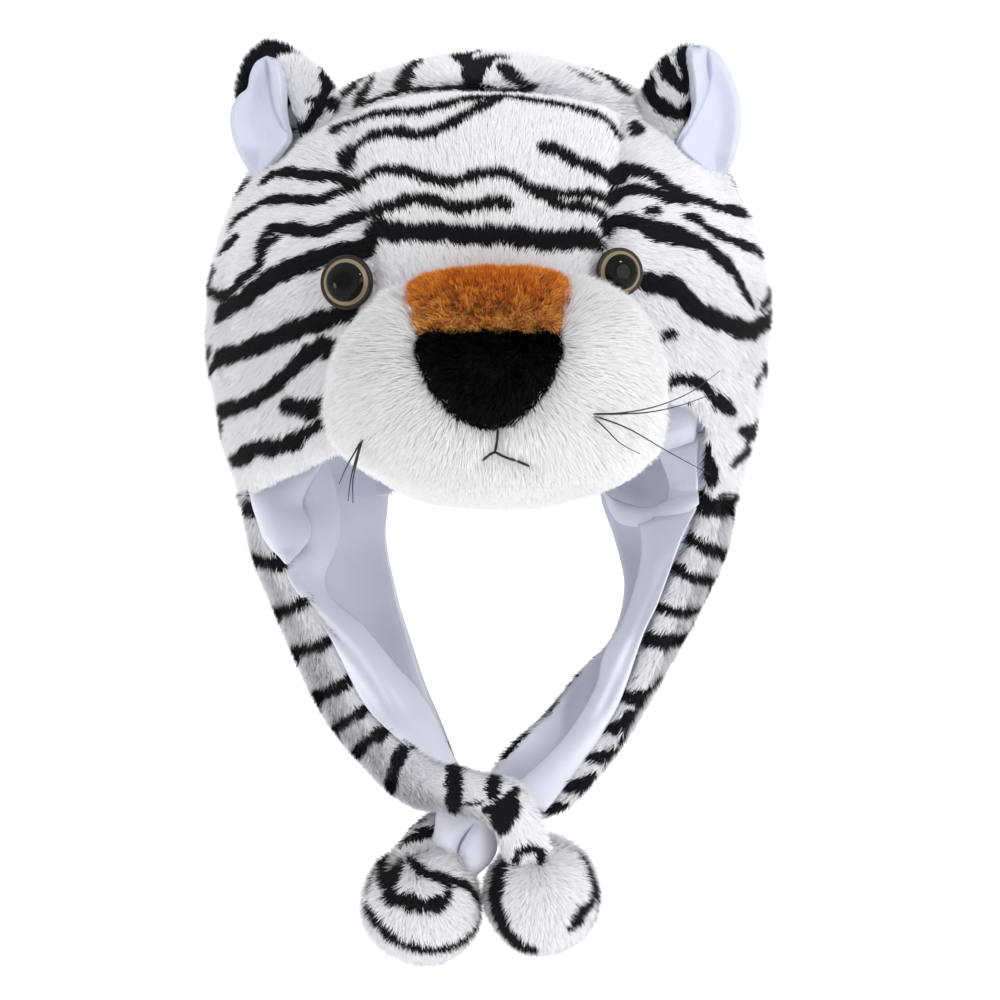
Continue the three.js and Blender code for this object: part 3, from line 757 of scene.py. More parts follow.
def towardViewer(points, forms):
    # soft forms charted on the photograph's pixels, raised along the line of sight: a pillow swells
    # inside its outline over so many pixels, a fold is a ridge or, below zero, a crease along its line
    pixels = pixelsOf(points)
    raised = np.zeros(len(points))
    for kind, wide, high, path in forms:
        if kind == "pillow":
            raised += high * smoothStep(insideOutline(pixels, path), -1, wide)
        else:
            raised += high * np.exp(-(pathDistance(pixels, path) / wide) ** 2)
    return points + unit(np.array(view["eye"]) - points) * raised[:, None]


# Hood

hood = {"side": 108, "front": 106, "back": 110, "top": 98, "drop": 150, "centreZ": -88}
hems = {
    "front": [(-130, -158), (-93, -157), (-76, -151), (-57, -143.5), (-34, -138), (0, -133), (34, -127),
              (65, -123.5), (80, -125.5), (85, -133), (86, -158), (130, -158)],
    "neck": [(-130, -158), (-42, -158), (-26, -152), (0, -150), (26, -152), (47, -158), (130, -158)],
}
foreheadEdge = {"z": [-260, -105, -75, -40, -12, 40], "half": [32, 37, 41.5, 49, 51, 52]}
foreheadBack = {"x": [-60, -30, 0, 30, 60], "y": [-45, -56, -62, -56, -45]}
backSeam = {"z": [-260, -158, -8, 60], "y": [40, 40, -43, -43]}
hoodLook = {"inset": 3.4, "wall": 1.5, "seamDeep": 2.6, "seamWide": 4.5, "roll": 4.5, "uneven": 0.8, "tips": 2.6}


def eggScale(points):
    return np.column_stack([
        np.full(len(points), hood["side"]),
        np.where(points[:, 1] < 0, hood["front"], hood["back"]),
        np.where(points[:, 2] > hood["centreZ"], hood["top"], hood["drop"]),
    ])


def eggNormals(points):
    fromMiddle = points - (0, 0, hood["centreZ"])
    return unit(fromMiddle / eggScale(points) ** 2)


def eggHeight(points):
    # about how far a point lies outside the hood's outer face
    fromMiddle = points - (0, 0, hood["centreZ"])
    share = np.linalg.norm(fromMiddle / eggScale(points), axis=1)
    return (share - 1) * np.linalg.norm(fromMiddle, axis=1) / np.maximum(share, 0.1)


def eggSphere(fineness, grow=0):
    made = bmesh.new()
    bmesh.ops.create_icosphere(made, subdivisions=fineness, radius=1)
    points = np.array([v.co for v in made.verts])
    faces = [[v.index for v in f.verts] for f in made.faces]
    made.free()
    scale = np.column_stack([
        np.full(len(points), hood["side"]),
        np.where(points[:, 1] < 0, hood["front"], hood["back"]),
        np.where(points[:, 2] > 0, hood["top"], hood["drop"]),
    ])
    return points * (scale + grow) + (0, 0, hood["centreZ"]), faces


def hemField(points):
    # height above the open hem or the flaps' joint, and how near the open hem is
    flat = points[:, [0, 2]]
    front = points[:, 1] < 0
    above, openHem = np.empty(len(points)), np.zeros(len(points))
    for side, chosen, low, high in (("front", front, -93, 86), ("neck", ~front, -42, 47)):
        hem = np.array(hems[side])
        spot = flat[chosen]
        level = np.interp(spot[:, 0], hem[:, 0], hem[:, 1])
        above[chosen] = np.sign(spot[:, 1] - level) * pathDistance(spot, hem)
        openHem[chosen] = smoothStep(spot[:, 0], low - 6, low + 6) * (1 - smoothStep(spot[:, 0], high - 4, high + 4))
    return above, openHem


def seamFields(points):
    x, y, z = points.T
    forehead = np.minimum(np.interp(z, foreheadEdge["z"], foreheadEdge["half"]) - np.abs(x),
                          np.interp(x, foreheadBack["x"], foreheadBack["y"]) - y)
    crown = np.minimum.reduce([y - np.interp(x, foreheadBack["x"], foreheadBack["y"]), z + 40, 60 - np.abs(x)])
    back = np.maximum(y - np.interp(z, backSeam["z"], backSeam["y"]), crown)
    return {"forehead_panel": forehead, "back_panel": np.minimum(back, -forehead),
            "side_panel_left": np.minimum.reduce([-forehead, -back, -x]),
            "side_panel_right": np.minimum.reduce([-forehead, -back, x])}


def panelComb(name, points):
    x, y, z = points.T
    ones = np.ones(len(points))
    if name == "forehead_panel":
        return np.column_stack([0.12 * np.sign(x), 0.5 * ones, ones])
    if name == "back_panel":
        return np.column_stack([0.0 * ones, 0.6 * ones, -ones])
    sideways = smoothStep(z, -95, -45)
    out = np.sign(x)
    return np.column_stack([out * (0.15 + 0.9 * sideways), 0.25 + 0.25 * sideways, -1 + 0.85 * sideways])


# Front rows name pixels of the photograph; the widths are in millimetres
hoodStripes = [
    # brow, from the crown's seam down to the nose
    ("front", 2.4, [(358, 97), (375, 91), (399, 86), (433, 82), (462, 81), (498, 82), (524, 83), (538, 79)]),
    ("front", 4.2, [(333, 132), (335, 124), (347, 118), (376, 114), (394, 112), (419, 111), (445, 105),
                    (471, 98), (498, 94), (520, 96), (545, 100), (571, 106), (592, 114), (608, 120), (622, 134)]),
    ("front", 4.4, [(344, 166), (343, 151), (354, 144), (373, 136), (394, 131), (419, 134), (445, 127),
                    (471, 113), (488, 103), (498, 97)]),
    ("front", 3.5, [(350, 188), (361, 179), (378, 171), (397, 170), (419, 174), (436, 180), (457, 181),
                    (480, 175), (498, 173), (514, 177), (531, 189), (545, 196), (562, 205), (586, 207), (608, 216)]),
    ("front", 2.8, [(528, 185), (552, 191), (575, 194), (590, 193), (608, 200)]),
    ("front", 4.8, [(540, 147), (556, 149), (576, 161), (597, 170), (614, 180)]),
    ("front", 3.9, [(257, 262), (262, 240), (270, 230), (290, 228), (310, 230), (326, 229), (342, 220), (354, 215),
                    (376, 210), (394, 205), (411, 199), (433, 200), (459, 208), (480, 205), (498, 202), (508, 207)]),
    ("front", 6.2, [(369, 236), (376, 228), (394, 232), (436, 232), (471, 236), (498, 236), (530, 239),
                    (560, 241), (582, 238), (604, 244)]),
    # crown behind the seam
    ("front", 4.2, [(352, 99), (362, 88), (374, 76)]),
    ("front", 6.0, [(400, 86), (406, 73), (420, 60)]),
    ("front", 8.4, [(468, 82), (474, 68), (486, 57), (504, 57)]),
    ("front", 8.4, [(504, 64), (512, 72), (522, 76)]),
    ("front", 2.4, [(568, 67), (583, 73), (598, 80)]),
    # left side
    ("front", 4.0, [(257, 181), (266, 173), (282, 171), (300, 173), (320, 175), (343, 179), (347, 188)]),
    ("front", 3.4, [(228, 228), (233, 220), (244, 210), (261, 201), (278, 198), (302, 199), (320, 199),
                    (334, 193), (350, 186)]),
    ("front", 3.4, [(207, 286), (216, 296), (228, 290), (241, 278), (256, 267), (263, 255), (268, 243), (281, 236)]),
    ("front", 6.4, [(213, 318), (221, 310), (241, 298), (256, 286), (276, 274), (297, 265), (320, 257),
                    (343, 251), (371, 246)]),
    ("front", 2.6, [(371, 246), (372, 240), (366, 238)]),
    ("front", 3.4, [(203, 290), (209, 292), (216, 297)]),
    ("front", 6.0, [(216, 360), (220, 357), (236, 352), (267, 340), (297, 328), (322, 320), (345, 311), (352, 309)]),
    ("front", 3.0, [(206, 326), (206, 341)]),
    ("front", 3.4, [(208, 378), (213, 367), (218, 360)]),
    ("front", 5.0, [(214, 412), (244, 404), (263, 392), (282, 376), (297, 362), (306, 355)]),
    ("front", 6.4, [(300, 357), (312, 350), (334, 345)]),
    ("front", 6.0, [(279, 407), (290, 406), (305, 410), (322, 405), (336, 402)]),
    ("front", 3.2, [(336, 418), (322, 423), (309, 430), (296, 438)]),
    ("front", 5.4, [(300, 436), (288, 443), (267, 448), (254, 448), (241, 457), (229, 461)]),
    ("front", 2.6, [(217, 432), (219, 438)]),
    ("front", 3.0, [(209, 263), (213, 272)]),
    ("front", 3.6, [(218, 252), (226, 243), (236, 236)]),
    # right side
    ("front", 6.0, [(612, 183), (622, 172), (632, 169), (650, 174), (664, 183), (676, 192), (688, 198)]),
    ("front", 3.6, [(676, 194), (700, 199), (716, 203), (734, 209), (753, 217)]),
    ("front", 4.0, [(608, 203), (618, 193), (630, 190), (650, 192), (668, 197), (686, 199)]),
    ("front", 4.6, [(606, 232), (612, 223), (624, 220), (640, 222), (654, 226), (672, 230), (690, 236)]),
    ("front", 4.0, [(640, 228), (660, 236), (684, 240), (702, 244)]),
    ("front", 5.0, [(684, 236), (702, 244), (718, 254), (732, 266), (746, 286), (757, 305)]),
    ("front", 3.0, [(645, 212), (660, 208)]),
    ("front", 3.2, [(684, 215), (700, 219), (708, 228), (725, 235), (743, 243), (757, 250), (768, 260), (770, 269)]),
    ("front", 6.6, [(640, 280), (659, 284), (677, 288), (690, 303), (707, 314), (725, 322), (743, 329),
                    (756, 329), (767, 320), (773, 313)]),
    ("front", 2.2, [(772, 288), (768, 298), (762, 310)]),
    ("front", 3.4, [(664, 338), (670, 334), (678, 334)]),
    ("front", 3.4, [(671, 391), (673, 382), (683, 379), (696, 380), (707, 386), (716, 398)]),
    ("front", 4.4, [(714, 396), (725, 405), (736, 412)]),
    ("front", 3.2, [(767, 362), (763, 374), (757, 386)]),
    ("front", 3.4, [(758, 420), (751, 430), (738, 429)]),
    ("front", 4.8, [(754, 450), (741, 457), (731, 464)]),
    ("front", 7.6, [(697, 436), (702, 452), (712, 469), (718, 486)]),
    ("front", 2.0, [(697, 410), (699, 424), (701, 438)]),
    ("front", 5.0, [(636, 131), (640, 122), (643, 114)]),
    # beyond the photograph: the left side, as (y, z)
    ("left", 4.6, [(-20, -40), (6, -47), (34, -58), (58, -76), (78, -84)]),
    ("left", 5.0, [(-24, -76), (0, -82), (26, -96), (50, -104), (74, -120)]),
    ("left", 4.0, [(-26, -104), (-4, -108), (18, -120), (36, -124)]),
    ("left", 5.4, [(-28, -130), (0, -136), (28, -146), (52, -148)]),
    ("left", 3.6, [(30, -74), (48, -90), (58, -98)]),
    ("left", 4.2, [(44, -128), (66, -136), (84, -148)]),
    # the right side
    ("right", 4.6, [(-16, -38), (8, -50), (32, -58), (56, -74), (76, -78)]),
    ("right", 5.2, [(-22, -84), (2, -80), (26, -92), (52, -100), (78, -116)]),
    ("right", 4.2, [(-24, -110), (2, -112), (22, -122), (40, -122)]),
    ("right", 5.0, [(-30, -138), (-4, -134), (26, -144), (54, -142)]),
    ("right", 3.4, [(20, -70), (42, -80), (60, -92)]),
    ("right", 4.0, [(40, -130), (64, -130), (82, -140)]),
    # the back, as (x, z)
    ("back", 5.0, [(-6, -20), (-30, -26), (-54, -40), (-74, -62)]),
    ("back", 5.0, [(4, -24), (28, -30), (52, -46), (72, -66)]),
    ("back", 5.6, [(-2, -46), (-24, -50), (-46, -62), (-70, -88)]),
    ("back", 5.6, [(6, -50), (30, -56), (50, -70), (70, -92)]),
    ("back", 5.0, [(-4, -74), (-26, -80), (-48, -94), (-76, -118)]),
    ("back", 5.0, [(8, -78), (30, -82), (54, -100), (76, -122)]),
    ("back", 5.6, [(-6, -102), (-28, -108), (-50, -122), (-72, -142)]),
    ("back", 5.6, [(4, -104), (26, -112), (48, -126), (66, -146)]),
    ("back", 4.6, [(-4, -128), (-22, -134), (-40, -148)]),
    ("back", 4.6, [(6, -132), (24, -138), (42, -152)]),
    # the crown, as (x, y)
    ("top", 6.0, [(-54, -30), (-44, -8), (-22, 2), (-8, 4)]),
    ("top", 6.0, [(52, -32), (40, -10), (24, 0), (10, 2)]),
    ("top", 6.4, [(-4, -44), (-10, -26), (-4, -10)]),
    ("top", 5.6, [(-58, 8), (-40, 22), (-18, 28), (-4, 26)]),
    ("top", 5.6, [(58, 6), (42, 20), (22, 28), (6, 26)]),
    ("top", 5.0, [(-48, 42), (-30, 52), (-10, 54)]),
    ("top", 5.0, [(50, 40), (32, 50), (12, 54)]),
]
panels = {
    "forehead_panel": {"perSquare": 6.8, "long": 4.6, "wide": 0.55, "lean": 0.95, "ruffle": 0.3, "clump": 0.6,
                       "lock": 6, "seed": 3},
    "side_panel_left": {"perSquare": 5.5, "long": 4.8, "wide": 0.58, "lean": 1.0, "ruffle": 0.34, "clump": 0.8,
                        "lock": 8, "seed": 5},
    "side_panel_right": {"perSquare": 5.5, "long": 4.8, "wide": 0.58, "lean": 1.0, "ruffle": 0.34, "clump": 0.8,
                         "lock": 8, "seed": 7},
    "back_panel": {"perSquare": 4.0, "long": 4.8, "wide": 0.7, "lean": 1.0, "ruffle": 0.3, "clump": 0.7,
                   "lock": 8, "seed": 9},
}


def panelCloth(name, points, faces):
    points, faces = clipMesh(points, faces, seamFields(points)[name])
    points, faces = clipMesh(points, faces, hemField(points)[0])
    seam = np.maximum(seamFields(points)[name], 0)
    above, openHem = hemField(points)
    crown = points[:, 1] - np.interp(points[:, 0], foreheadBack["x"], foreheadBack["y"])
    onCrown = np.exp(-(crown / 9) ** 2) * (points[:, 2] > hood["centreZ"])
    inset = hoodLook["seamDeep"] * (1 - 0.5 * onCrown) * np.exp(-(seam / hoodLook["seamWide"]) ** 2)
    inset += hoodLook["inset"]
    inset += hoodLook["uneven"] * waves(points, 46, 4)
    rolled = np.clip(hoodLook["roll"] - np.maximum(above, 0), 0, hoodLook["roll"])
    inset += openHem * (hoodLook["roll"] - np.sqrt(hoodLook["roll"] ** 2 - rolled ** 2))
    normals = eggNormals(points)
    cloth = points - normals * inset[:, None]
    fur = 1 - 0.3 * openHem * np.exp(-(np.maximum(above, 0) / 6) ** 2)
    fur -= 0.55 * onCrown
    wall, wallFaces = thickened(cloth, normals, faces, hoodLook["wall"])
    dense = np.ones(len(cloth))
    if name == "back_panel":  # fuller where the front shows it
        dense = 0.4 + 0.6 * smoothStep(points[:, 2], -60, -44) * (1 - smoothStep(crown, 34, 48))
    return wall, wallFaces, np.concatenate([dense, np.zeros(len(cloth))]), np.concatenate([fur, fur])


def makeHood():
    points, faces = eggSphere(6)
    tips = points - eggNormals(points) * (hoodLook["inset"] - hoodLook["tips"])
    stripes = printOn(tips, faces, hoodStripes, hoodLook["tips"])
    for name, pile in panels.items():
        wall, wallFaces, mask, fur = panelCloth(name, points, faces)
        plushPiece(name + "_plush", wall, wallFaces, panelComb(name, wall), pile, finishes["stripedPlush"],
                   name, stripes, fur, mask)


hoodLining = {"grow": -8.6, "wall": 1.3, "pucker": 1.6, "gathered": 16, "gathers": (37, 23)}
# Folds of the lining, charted on the photograph's pixels from the hem down: each row is the fold's
# left and right edge, their depths as y, and how far the fold swells towards the viewer between them
liningFolds = {
    "left": [
        [  # the puff beside the front edge
            ((256, 452), (327, 456), 0, 2, 1), ((250, 472), (315, 476), -14, -3, 5),
            ((249, 488), (307, 491), -22, -5, 7), ((252, 506), (303, 505), -26, -7, 8),
            ((257, 521), (310, 520), -28, -8, 8), ((262, 536), (311, 535), -30, -12, 7),
            ((271, 549), (304, 547), -31, -18, 5), ((280, 558), (295, 557), -32, -26, 3),
            ((285, 564), (289, 564), -33, -31, 1),
        ],
        [  # the long sheet behind it
            ((316, 436), (330, 438), 14, 16, 2), ((308, 456), (328, 456), 8, 16, 4),
            ((300, 480), (334, 480), 2, 16, 6), ((297, 500), (339, 502), 0, 16, 7),
            ((299, 522), (341, 523), -4, 14, 8), ((295, 545), (338, 545), -10, 10, 8),
            ((284, 562), (331, 562), -28, 4, 8), ((289, 580), (325, 580), -33, -2, 8),
            ((300, 596), (329, 595), -36, -8, 7), ((311, 610), (343, 608), -37, -8, 7),
            ((324, 628), (363, 624), -38, -8, 7), ((334, 645), (379, 643), -40, -8, 7),
            ((345, 668), (398, 666), -42, -10, 6), ((356, 690), (417, 686), -44, -10, 6),
            ((370, 712), (433, 710), -47, -8, 5), ((388, 730), (442, 730), -50, -12, 5),
            ((408, 748), (452, 752), -54, -30, 4), ((430, 768), (462, 770), -58, -46, 2),
        ],
    ],
    "right": [
        [  # under the hem
            ((634, 392), (704, 390), -30, -52, 2), ((632, 420), (701, 412), -28, -50, 5),
            ((636, 438), (698, 426), -27, -48, 6), ((640, 453), (696, 437), -24, -46, 4),
            ((644, 458), (695, 441), -22, -44, 1),
        ],
        [  # the fold that drops behind it
            ((652, 440), (700, 436), -6, -42, 3), ((656, 452), (699, 446), -4, -42, 6),
            ((662, 466), (698, 462), -4, -42, 7), ((668, 484), (698, 480), -5, -42, 7),
            ((667, 498), (698, 494), -6, -42, 7), ((660, 510), (697, 504), -8, -42, 5),
            ((652, 520), (695, 512), -10, -42, 2),
        ],
        [  # the roll across the opening
            ((600, 486), (610, 512), 58, 54, 2), ((612, 497), (619, 523), 44, 38, 5),
            ((630, 504), (634, 527), 26, 20, 7), ((648, 507), (652, 524), 6, 0, 8),
            ((668, 500), (670, 521), -14, -20, 8), ((684, 494), (686, 515), -30, -34, 6),
            ((698, 490), (699, 504), -42, -44, 2),
        ],
        [  # the long sheet down the flap
            ((638, 524), (697, 508), 0, -42, 3), ((641, 544), (682, 538), -4, -43, 5),
            ((640, 562), (673, 562), -8, -44, 6), ((634, 588), (663, 590), -12, -46, 6),
            ((628, 607), (656, 608), -16, -46, 6), ((620, 626), (647, 626), -20, -47, 6),
            ((608, 645), (640, 644), -24, -47, 6), ((601, 662), (634, 662), -26, -47, 6),
            ((598, 680), (628, 680), -28, -46, 5), ((588, 702), (619, 704), -30, -45, 5),
            ((570, 730), (604, 732), -33, -44, 5), ((545, 758), (587, 760), -36, -43, 4),
            ((516, 784), (565, 787), -38, -42, 3), ((496, 800), (545, 812), -40, -44, 2),
        ],
        [  # the tie's end, squeezed by the knot into two lobes
            ((440, 800), (478, 804), -44, -48, 1), ((436, 814), (481, 818), -45, -50, 4),
            ((434, 830), (467, 832), -46, -50, 6), ((430, 845), (459, 845), -46, -51, 6),
            ((433, 860), (457, 861), -46, -52, 5), ((446, 876), (458, 876), -47, -52, 1),
        ],
        [
            ((480, 806), (490, 808), -50, -50, 1), ((474, 822), (492, 820), -50, -50, 4),
            ((466, 834), (495, 834), -50, -50, 6), ((459, 848), (497, 849), -51, -50, 6),
            ((458, 864), (491, 862), -52, -51, 5), ((462, 880), (474, 878), -52, -52, 1),
        ],
    ],
}
# Ridges and creases on those folds: kind, width in pixels, height in millimetres, and its line
liningForms = {
    "left": [
        ("fold", 4, -3.4, [(304, 600), (322, 619), (342, 640), (361, 662), (379, 690), (390, 712)]),
        ("fold", 6, 2.6, [(332, 640), (354, 665), (375, 694), (397, 728), (416, 758)]),
        ("fold", 3.5, -2.4, [(392, 696), (410, 726), (430, 760)]),
        ("fold", 3, 1.6, [(426, 690), (438, 720), (450, 755)]),
    ],
    "right": [
        ("fold", 3, -1.8, [(668, 488), (680, 490), (696, 492)]),
        ("fold", 4, -2, [(668, 560), (655, 592), (636, 634), (622, 668), (604, 706)]),
        ("fold", 5, 1.5, [(655, 560), (644, 594), (628, 632), (612, 668), (592, 712)]),
    ],
}


def paddedFold(rows, forms, steps=54, columns=24):
    # a soft closed fold whose edges follow its rows
    left, right = [splinePoints([row[k] for row in rows], steps) for k in (0, 1)]
    depths = splinePoints([row[2:] for row in rows], steps)
    shares = np.linspace(0, 1, columns)[:, None]
    rings = []
    for start, end, (near, far, swell) in zip(left, right, depths):
        depth = near + (far - near) * shares[:, 0]
        flat = pixelPoints(start + (end - start) * shares, depth)
        rounding = np.sin(shares * math.pi) ** 0.62
        front = flat - (0, 1, 0) * rounding * swell
        back = flat + (0, 1, 0) * (0.5 + rounding * 2.5)
        rings.append(np.vstack([front, back[::-1][1:-1]]))
    points = np.vstack(rings)
    points = towardViewer(points, forms)
    return points, outwardFaces(points, ringFaces(len(rings), len(rings[0])))


def makeHoodLining():
    # the knit lining hangs a little slack, and is gathered to the open hem
    points, faces = eggSphere(5, hoodLining["grow"])
    above, _ = hemField(points)
    points, faces = clipMesh(points, faces, above + 0.4)
    above, openHem = hemField(points)
    normals = eggNormals(points)
    around = np.arctan2(points[:, 1], points[:, 0])
    gather = np.exp(-(np.maximum(above, 0) / hoodLining["gathered"]) ** 2)
    slack = 1.1 * waves(points, 60, 21) + 0.5 * waves(points, 24, 22) - 0.9
    many, few = hoodLining["gathers"]
    folds = np.sin(around * many + 2 * waves(points, 70, 5)) * 0.6 + np.sin(around * few + 1) * 0.5
    moved = np.minimum(slack * 1.2 + gather * hoodLining["pucker"] * (folds - 0.6), 0.2)
    moved *= np.maximum(openHem, smoothStep(above, 4, 30))
    points = points + normals * moved[:, None]
    wall, wallFaces = thickened(points, normals, faces, -hoodLining["wall"])
    piece = makeMesh("hood_lining_knit", wall, outwardFaces(wall, wallFaces), [finishes["liningKnit"]])
    settle(piece, "hood_lining")


makeHood()
makeHoodLining()
print("hood made")


# Muzzle, nose and bridge

muzzle = {
    "x": 2.8, "z": -125, "left": 60.5, "right": 60.5, "up": 48, "down": 39,
    "square": [2.7, 2.15, 1.9, 2.3],
    "y": [-60, -88, -100, -114, -130, -146, -160, -170, -176, -178],
    "share": [0.8, 0.86, 0.97, 1, 0.965, 0.87, 0.71, 0.49, 0.25, 0],
    "lower": [0, 0, 0, 0.5, 1.5, 3, 4, 4, 3, 2],
    "inset": 3.6, "wall": 1.5, "columns": 132, "rows": 54,
    "reach": 60, "seamDeep": 2.0, "seamWide": 3.5, "mouthDeep": 1.6, "mouthWide": 3,
}
noseOutline = [(-24.8, -99.8), (25.7, -99.8), (27, -107), (23, -119), (17.3, -127), (9.5, -134.4), (1.1, -137),
               (-8.3, -134.4), (-16.4, -127), (-22.4, -118), (-25.8, -107)]
bridgeOutline = [(-31, -70.4), (29.2, -70.4), (27.8, -88), (25.8, -99.5), (-24.2, -99.5), (-28.8, -89)]
mouthPixels = {
    "middle": [(498, 430), (497, 441), (495, 452)],
    "left": [(495, 452), (489, 455), (483, 460)],
    "right": [(495, 452), (505, 457), (517, 461), (529, 466)],
}


def muzzleSurface():
    # rings from the hood to the tip, squarer above than below
    reach = np.array(muzzle["share"]) * muzzle["reach"]
    profile = splinePoints(np.column_stack([muzzle["y"], reach, muzzle["lower"]]), muzzle["rows"])
    turn = np.linspace(0, 2 * math.pi, muzzle["columns"], endpoint=False)
    quarter = np.array(muzzle["square"] + muzzle["square"][:1])
    blend = np.interp((turn / (math.pi / 2) - 0.5) % 4, range(5), quarter)
    c, s = np.cos(turn), np.sin(turn)
    across = np.sign(c) * np.abs(c) ** (2 / blend) * np.where(c < 0, muzzle["left"], muzzle["right"])
    up = np.sign(s) * np.abs(s) ** (2 / blend) * np.where(s < 0, muzzle["down"], muzzle["up"])
    rings = []
    for y, reach, lower in profile:
        share = max(reach / muzzle["reach"], 0.012)
        rings.append(np.column_stack([muzzle["x"] + across * share, np.full(len(turn), y),
                                      muzzle["z"] - lower + up * share]))
    points = np.vstack(rings)
    faces = ringFaces(len(rings), muzzle["columns"], closed=False)
    tip = len(points)
    last = (len(rings) - 1) * muzzle["columns"]
    points = np.vstack([points, rings[-1].mean(axis=0) - (0, 0.4, 0)])
    faces += [[last + i, last + (i + 1) % muzzle["columns"], tip] for i in range(muzzle["columns"])]
    normals = pointNormals(points, faces)
    if np.sum(normals * (points - (muzzle["x"], -110, muzzle["z"]))) < 0:
        faces = [f[::-1] for f in faces]
    return points, faces


muzzlePiles = {
    "muzzle": {"perSquare": 4.5, "long": 6.6, "wide": 0.58, "lean": 1.3, "ruffle": 0.3, "clump": 0.7,
               "lock": 8, "seed": 13},
    "nose": {"perSquare": 8, "long": 4.4, "wide": 0.5, "lean": 0.9, "ruffle": 0.4, "clump": 2.2, "lock": 5,
             "seed": 15},
    "bridge": {"perSquare": 8.5, "long": 4.8, "wide": 0.5, "lean": 0.7, "ruffle": 0.5, "clump": 2.8, "lock": 5,
               "seed": 17},
}


def goldTipped(spots, chance, nap):
    # golden strands, more of them towards the bridge's lower edge
    return chance > 0.9 - 0.5 * smoothStep(-spots[:, 2], 86, 103)


def seamDistance(points):
    flat = points[:, [0, 2]]
    return insideOutline(flat, noseOutline), insideOutline(flat, bridgeOutline)


def makeMuzzle():
    points, faces = muzzleSurface()
    tree = treeOf(points, faces)
    threads = {side: np.array([castOn(tree, "front", *spot)[0] for spot in path])
               for side, path in mouthPixels.items()}
    points, faces = clipMesh(points, faces, eggHeight(points) + 3.0)
    inNose, inBridge = seamDistance(points)
    parts = {"muzzle": np.minimum(-inNose, -inBridge) - 0.2, "nose": inNose, "bridge": inBridge}
    names = {"muzzle": ("muzzle", "white_plush", "whitePlush"), "nose": ("nose", "black_plush", "blackPlush"),
             "bridge": ("nose_bridge", "brown_plush", "brownPlush")}
    for part, field in parts.items():
        cut, cutFaces = clipMesh(points, faces, field)
        normals = pointNormals(cut, cutFaces)
        inNose, inBridge = seamDistance(cut)
        seam = np.minimum(np.abs(inNose), np.abs(inBridge))
        stitched = np.min([pathDistance(cut[:, [0, 2]], path[:, [0, 2]]) for path in threads.values()], axis=0)
        depth = muzzle["inset"] + muzzle["seamDeep"] * np.exp(-(seam / muzzle["seamWide"]) ** 2)
        depth += muzzle["mouthDeep"] * np.exp(-(stitched / muzzle["mouthWide"]) ** 2)
        x, y, z = cut.T
        if part == "muzzle":
            smooth = smoothStep(z, -158, -144)
            depth += 0.7 * waves(cut, 34, 8) - 1.2 * (1 - smooth)
            fur = 0.42 + 0.58 * smooth
            fur *= 0.35 + 0.65 * smoothStep(stitched, 0.5, 5)
            comb = np.column_stack([(x - 2) * 0.02, 0.35 + 0 * x, (z + 112) * 0.012 - 0.55])
        elif part == "nose":
            depth -= 1.0 + 1.4 * smoothStep(seam, 0, 9)
            fur = 0.6 + 0.4 * smoothStep(seam, 0, 5)
            comb = np.column_stack([-0.35 + 0.01 * x, 0 * x, -1 + 0 * x])
        else:
            depth -= 0.8
            fur = 0.8 + 0.35 * smoothStep(-z, 96, 103)
            comb = np.column_stack([0.012 * x, 0 * x, -1 + 0 * x])
        cloth = cut - normals * depth[:, None]
        wall, wallFaces = thickened(cloth, normals, cutFaces, muzzle["wall"])
        mask = np.concatenate([np.ones(len(cloth)), np.zeros(len(cloth))])
        node, slot, finish = names[part]
        plushPiece(node + "_plush", wall, wallFaces, np.vstack([comb, comb]), muzzlePiles[part], finishes[finish],
                   node, goldTipped if part == "bridge" else unprinted, np.concatenate([fur, fur]), mask)
    return threads


threads = makeMuzzle()
print("muzzle made")


# Tubes for thread and whiskers

def tubeMesh(path, radii, sides=6):
    path = np.asarray(path, float)
    ahead = unit(np.gradient(path, axis=0))
    rings = []
    for spot, direction, radius in zip(path, ahead, radii):
        side = np.cross(direction, (0.3, 0.2, 1))
        side = side / np.linalg.norm(side)
        other = np.cross(direction, side)
        turn = np.linspace(0, 2 * math.pi, sides, endpoint=False)
        rings.append(spot + radius * (np.outer(np.cos(turn), side) + np.outer(np.sin(turn), other)))
    points = np.vstack(rings)
    return points, outwardFaces(points, ringFaces(len(rings), sides))


def joined(meshes):
    points, faces, shift = [], [], 0
    for somePoints, someFaces in meshes:
        points.append(somePoints)
        faces += [[i + shift for i in face] for face in someFaces]
        shift += len(somePoints)
    return np.vstack(points), faces


mouth = {"thick": 0.5, "stitch": 4.2, "steps": 40, "sunk": 2.2, "rise": 1.2}


def makeMouth():
    # stem stitches that dip into the pile at each end
    meshes = []
    for path in threads.values():
        line = splinePoints(path, mouth["steps"])
        length = np.linalg.norm(np.diff(line, axis=0), axis=1).sum()
        arch = np.abs(np.sin(np.linspace(0, math.pi * max(2, round(length / mouth["stitch"])), len(line))))
        line[:, 1] += mouth["sunk"] - mouth["rise"] * arch
        meshes.append(tubeMesh(line, mouth["thick"] * (0.8 + 0.2 * arch), 8))
    piece = makeMesh("mouth_stitches", *joined(meshes), [finishes["mouthThread"]])
    settle(piece, None)


